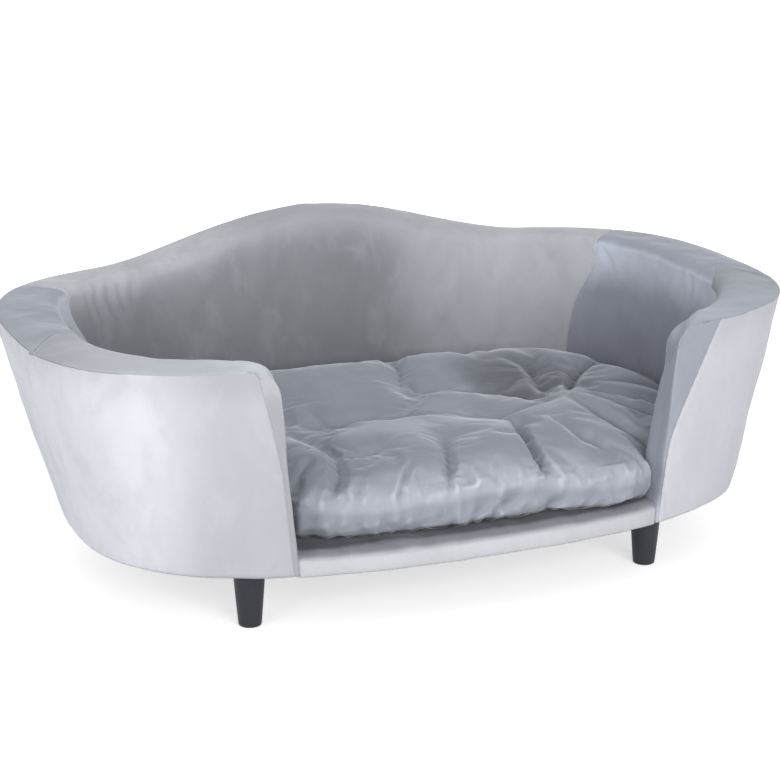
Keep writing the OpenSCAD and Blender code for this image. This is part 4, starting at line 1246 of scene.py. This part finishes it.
def build_cushion():
    (layer, t, q), faces = cushion_net()
    p = rim_at(q)
    x, y = p[:, 0] * t, PLAN_Y + p[:, 1] * t
    rim_x, rim_y = p[:, 0], PLAN_Y + p[:, 1]
    seam = mix(SEAM_Z, seam_height(rim_x, rim_y), smooth((t - 0.55) / 0.35))
    z_up = seam + crown(t)
    at_front = smooth((-rim_y - 180) / 60)
    z_low = CUSHION_LOW + (seam - CUSHION_LOW) * belly(t, at_front)
    verts = np.stack([x, y, np.where(layer == 0, z_up, z_low)], -1)
    obj = new_object("cushion_velvet", verts, faces)

    # creases, seam puckers and folds, sunk along the normals
    normals = np.array([v.normal[:] for v in obj.data.vertices])
    upper = layer == 0
    sunk = np.zeros(len(verts))
    pin = np.where(t > 0.999, 1.0, 0.0)
    for line, depth, width in CREASES:
        flat = polyline(line)
        pts = np.concatenate([flat, upper_height(flat[:, 0], flat[:, 1])[:, None]], 1)
        press(sunk, pin, upper, verts, pts, (depth, width), (0.9, 3.4))
    for top, bottom, depth, width in LOW_FOLDS:
        line = mix(np.array([*top, SEAM_Z]), np.array([*bottom, CUSHION_LOW + 2]),
                   np.linspace(0, 1, 24)[:, None])
        press(sunk, pin, ~upper, verts, line, (depth, width), (0.7, 3.0), (0.2, 0.1))
    for pleat in gathers(verts, layer, t, q, at_front):
        sunk += pleat
    verts = verts - normals * sunk[:, None]
    edge_wave = waves(12, 40, 130, 12)(verts)
    verts[:, 2] += np.where(t > 0.97, 1.2 * edge_wave, 0)
    pin = np.maximum(pin, np.where((layer == 1) & (t < mix(0.84, 0.945, at_front)), 1.0, 0.0))
    obj.data.vertices.foreach_set("co", (verts * MM).reshape(-1))
    obj.data.update()
    return obj, verts, pin, t, layer


CLOTH_RUN = {"quality": 6, "mass": 0.25, "tension_stiffness": 12, "compression_stiffness": 12,
             "shear_stiffness": 4, "bending_stiffness": 0.25, "air_damping": 2.0,
             "vertex_group_mass": "held", "pin_stiffness": 1.0, "shrink_min": -0.07,
             "use_pressure": True, "uniform_pressure_force": 4.0}
LAST_FRAME = 20


def relax_cushion(obj, start, pin):
    """A short cloth run with filling pressure: the cloth, cut a little large, puffs out between
    its seam and its creases."""
    group = obj.vertex_groups.new(name="held")
    for i, w in enumerate(pin):
        if w > 0.02:
            group.add([i], float(w), "REPLACE")
    cloth = obj.modifiers.new("fill", "CLOTH")
    for key, value in CLOTH_RUN.items():
        setattr(cloth.settings, key, value)
    cloth.settings.effector_weights.gravity = 0
    cloth.collision_settings.use_collision = False
    cloth.collision_settings.use_self_collision = False
    scene = bpy.context.scene
    for timed in (scene, cloth.point_cache):
        timed.frame_start, timed.frame_end = 1, LAST_FRAME
    for frame_no in range(1, LAST_FRAME + 1):
        scene.frame_set(frame_no)
        bpy.context.view_layer.update()
    dg = bpy.context.evaluated_depsgraph_get()
    done = obj.evaluated_get(dg).to_mesh()
    co = np.empty(len(done.vertices) * 3)
    done.vertices.foreach_get("co", co)
    obj.modifiers.remove(cloth)
    scene.frame_set(1)
    co = co.reshape(-1, 3) / MM
    move = co - start
    size = np.linalg.norm(move, axis=1, keepdims=True)
    return start + move * (PUFF * np.tanh(size / PUFF) / np.maximum(size, 1e-9))


cushion, c_start, c_pin, c_t, c_layer = build_cushion()
c_now = relax_cushion(cushion, c_start, c_pin)


def inside_tub(v):
    """Keeps the cushion under its top, on the deck and clear of the wall."""
    v = v.copy()
    easy = CUSHION_TOP - 8
    over = v[:, 2] - easy
    v[:, 2] = np.where(over > 0, easy + 7.5 * np.tanh(over / 7.5), v[:, 2])
    v[:, 2] = np.maximum(v[:, 2], CUSHION_LOW)
    a, bf, bb, nf, nb, iy = oval("inner", np.clip(v[:, 2], DECK, 250))
    y = v[:, 1] - iy
    back_half = y > 0
    b, n = np.where(back_half, bb, bf), np.where(back_half, nb, nf)
    r = ((np.abs(v[:, 0]) / a) ** n + (np.abs(y) / b) ** n) ** (1 / n)
    limit = 0.99
    beside = back_half | (np.abs(v[:, 0]) > BAND_HALF)
    k = np.where(beside & (r > limit), limit / np.maximum(r, 1e-6), 1)
    v[:, 0] *= k
    v[:, 1] = iy + y * k
    return v


def finish_cushion(v, start, t, layer):
    """The sewn edge stands out as a lip, and the underside has a pleat for the zip."""
    v = v.copy()
    out = start[:, :2] - np.array([0, PLAN_Y])
    reach = np.linalg.norm(out, axis=1)
    out /= np.maximum(reach, 1e-6)[:, None]
    from_edge = reach / np.maximum(t, 1e-3) * (1 - t)
    puckers = 1 + 0.30 * waves(52, 14, 46, 18)(start)
    lip = np.where(layer == 0, np.exp(-(from_edge / 8.0) ** 1.2), np.exp(-(from_edge / 4.5) ** 1.2))
    v[:, :2] += out * (LIP * puckers * lip)[:, None]
    v[:, 2] += np.where(layer == 1, 1.6 * bell(from_edge - 5, 4), 0)
    pleat = smooth((17 - np.abs(v[:, 1] - ZIP_Y)) / 4.5) * smooth((196 - np.abs(v[:, 0])) / 8)
    under = (layer == 1) & (v[:, 2] < CUSHION_LOW + 6)
    v[:, 2] = np.where(under, np.maximum(v[:, 2], CUSHION_LOW + PLEAT_RISE * pleat), v[:, 2])
    return v


c_now = finish_cushion(inside_tub(c_now), c_start, c_t, c_layer)
# for the material: a painted highlight along the sewn edge, painted shade on the cloth just below
# it, a painted contact shadow at its foot and in the gap at one front corner, and painted shade on
# a patch of the top
c_run = np.hypot(c_start[:, 0], c_start[:, 1] - PLAN_Y) * (1 - c_t) / np.maximum(c_t, 1e-3)
set_painted_light(cushion, "sewn", np.where(c_layer == 0, np.exp(-(c_run / 9.5) ** 2.5), 0.0))
set_painted_light(cushion, "below", np.where(c_layer == 1, bell(c_start[:, 2] - SEAM_Z + 3, 6), 0.0))
c_x, c_y, c_z = c_now.T
c_corner_shade = smooth((-c_x - 207) / 9) * smooth((176 - c_z) / 26) * smooth((-c_y - 150) / 40)
c_foot = np.where(c_layer == 1, 1 - smooth((c_z - 114) / 5), 0.0)
set_painted_light(cushion, "foot", np.maximum(c_foot, c_corner_shade))
c_patch = np.exp(-((c_x - 190) / 80) ** 4 - ((c_y - 10) / 90) ** 4)
set_painted_light(cushion, "shaded_patch", c_patch * (c_layer == 0))
cushion.data.vertices.foreach_set("co", (c_now * MM).reshape(-1))
cushion.data.update()
sub = cushion.modifiers.new("smooth", "SUBSURF")
sub.levels = sub.render_levels = 1

# ---------------------------------------------------------------- dress and place
for obj, mat in ((outer, M_OUTER), (cap_left, M_CAP_L), (cap_right, M_CAP_R), (side_left, M_SIDE_L),
                 (side_right, M_SIDE_R), (back, M_BACK), (deck, M_DECK), (deck_side, M_DECK)):
    dress(obj, mat)
    close_shell(obj)
    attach(obj, SOFA)
dress(cushion, M_CUSHION)
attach(cushion, CUSHION)

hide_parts("outer_cover", "outer_wadding")
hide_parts("arm_cap_left", "end_foam_left")
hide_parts("arm_cap_right", "end_foam_right")
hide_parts("side_cover_left", "inner_foam_left", "roll_foam_left")
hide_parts("side_cover_right", "inner_foam_right", "roll_foam_right")
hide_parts("back_cover", "inner_foam_back", "roll_foam_back")
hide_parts("deck_cover", "deck_foam", "front_padding")
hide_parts("cushion_top_cover", "cushion_bottom_cover", "cushion_fill")

LEGS = ["leg_front_left", "leg_front_right", "leg_rear_left", "leg_rear_right"]
CAD_LOOKS = {
    M_PLY: ["base_board", "frame_ribs", "top_rail", "crest_rail",
            "end_post_left", "end_post_right"],
    M_HARD: ["outer_panel", "inner_panel"],
    M_LEG: LEGS,
    M_GLIDE: ["foot_glides"],
    M_STEEL: ["leg_bolts", "tee_nuts", "zip_slider"],
    M_ZIP: ["zip_tapes"],
    M_DUST: ["dust_cover"],
}
for mat, names in CAD_LOOKS.items():
    for name in names:
        dress(nodes[name], mat)
for name in LEGS + ["foot_glides", "leg_bolts", "tee_nuts"]:
    nodes[name].data.set_sharp_from_angle(angle=math.radians(35))

# ---------------------------------------------------------------- floor, lights, camera
bpy.ops.mesh.primitive_plane_add(size=30, location=(0, 0, 0))
floor = bpy.context.object
floor.name = "floor"
floor_white = bpy.data.materials.new("floor_white")
t = new_tree(floor_white)
diffuse = t.node("ShaderNodeBsdfDiffuse", in_Color=(0.93, 0.93, 0.94, 1))
glow = t.node("ShaderNodeEmission", in_Color=(1, 1, 1, 1))
# pure white away from the object, a little less near it so that its shadow stays
length = t.node("ShaderNodeVectorMath", operation="LENGTH")
t.link(t.node("ShaderNodeTexCoord").outputs["Object"], length.inputs[0])
NEAR, FAR, NEAR_GLOW = 0.55, 1.6, 0.60
far = t.span(length.outputs["Value"], NEAR, FAR, NEAR_GLOW, 1.0)
t.link(t.math("MULTIPLY", t.shown(), far), glow.inputs["Strength"])
both = t.node("ShaderNodeAddShader")
t.link(diffuse.outputs[0], both.inputs[0])
t.link(glow.outputs[0], both.inputs[1])
t.finish("ShaderNodeOutputMaterial", both)
dress(floor, floor_white)

# the world looks pure white and lights the object less strongly
world = bpy.data.worlds.new("studio")
bpy.context.scene.world = world
t = new_tree(world)
WORLD_LIGHT = 0.45
bg = t.node("ShaderNodeBackground", in_Color=(1, 1, 1, 1))
more = t.math("MULTIPLY", t.shown(), 1 - WORLD_LIGHT)
t.link(t.math("ADD", more, WORLD_LIGHT), bg.inputs["Strength"])
t.finish("ShaderNodeOutputWorld", bg)


def aimed(name, data, where, at):
    """A lamp or camera at a place, turned towards a point."""
    obj = bpy.data.objects.new(name, data)
    bpy.context.scene.collection.objects.link(obj)
    obj.location = where
    obj.rotation_euler = (Vector(at) - Vector(where)).to_track_quat("-Z", "Y").to_euler()
    return obj


def area(name, where, at, size, power, colour=(1, 1, 1)):
    data = bpy.data.lights.new(name, "AREA")
    data.shape = "RECTANGLE"
    data.size, data.size_y = size
    data.energy, data.color = power, colour
    aimed(name, data, where, at)


area("key", (0.1, -4.2, 1.7), (0, 0, 0.15), (3.2, 1.9), 104, (1.0, 0.997, 0.99))
area("fill", (-3.2, -1.9, 1.7), (0, 0, 0.2), (2.2, 2.2), 42, (0.97, 0.98, 1.0))
area("top", (0.2, 0.3, 3.2), (0, 0, 0.2), (3.0, 2.0), 6)

cam_data = bpy.data.cameras.new("camera")
cam_data.sensor_width, cam_data.lens = 36.0, 95.06
cam_data.clip_start, cam_data.clip_end = 0.05, 60
cam = aimed("camera", cam_data, (-0.93807, -2.30336, 0.95469), (-0.01707, -0.03790, 0.20934))
bpy.context.scene.camera = cam
bpy.context.scene.view_settings.view_transform = "Standard"
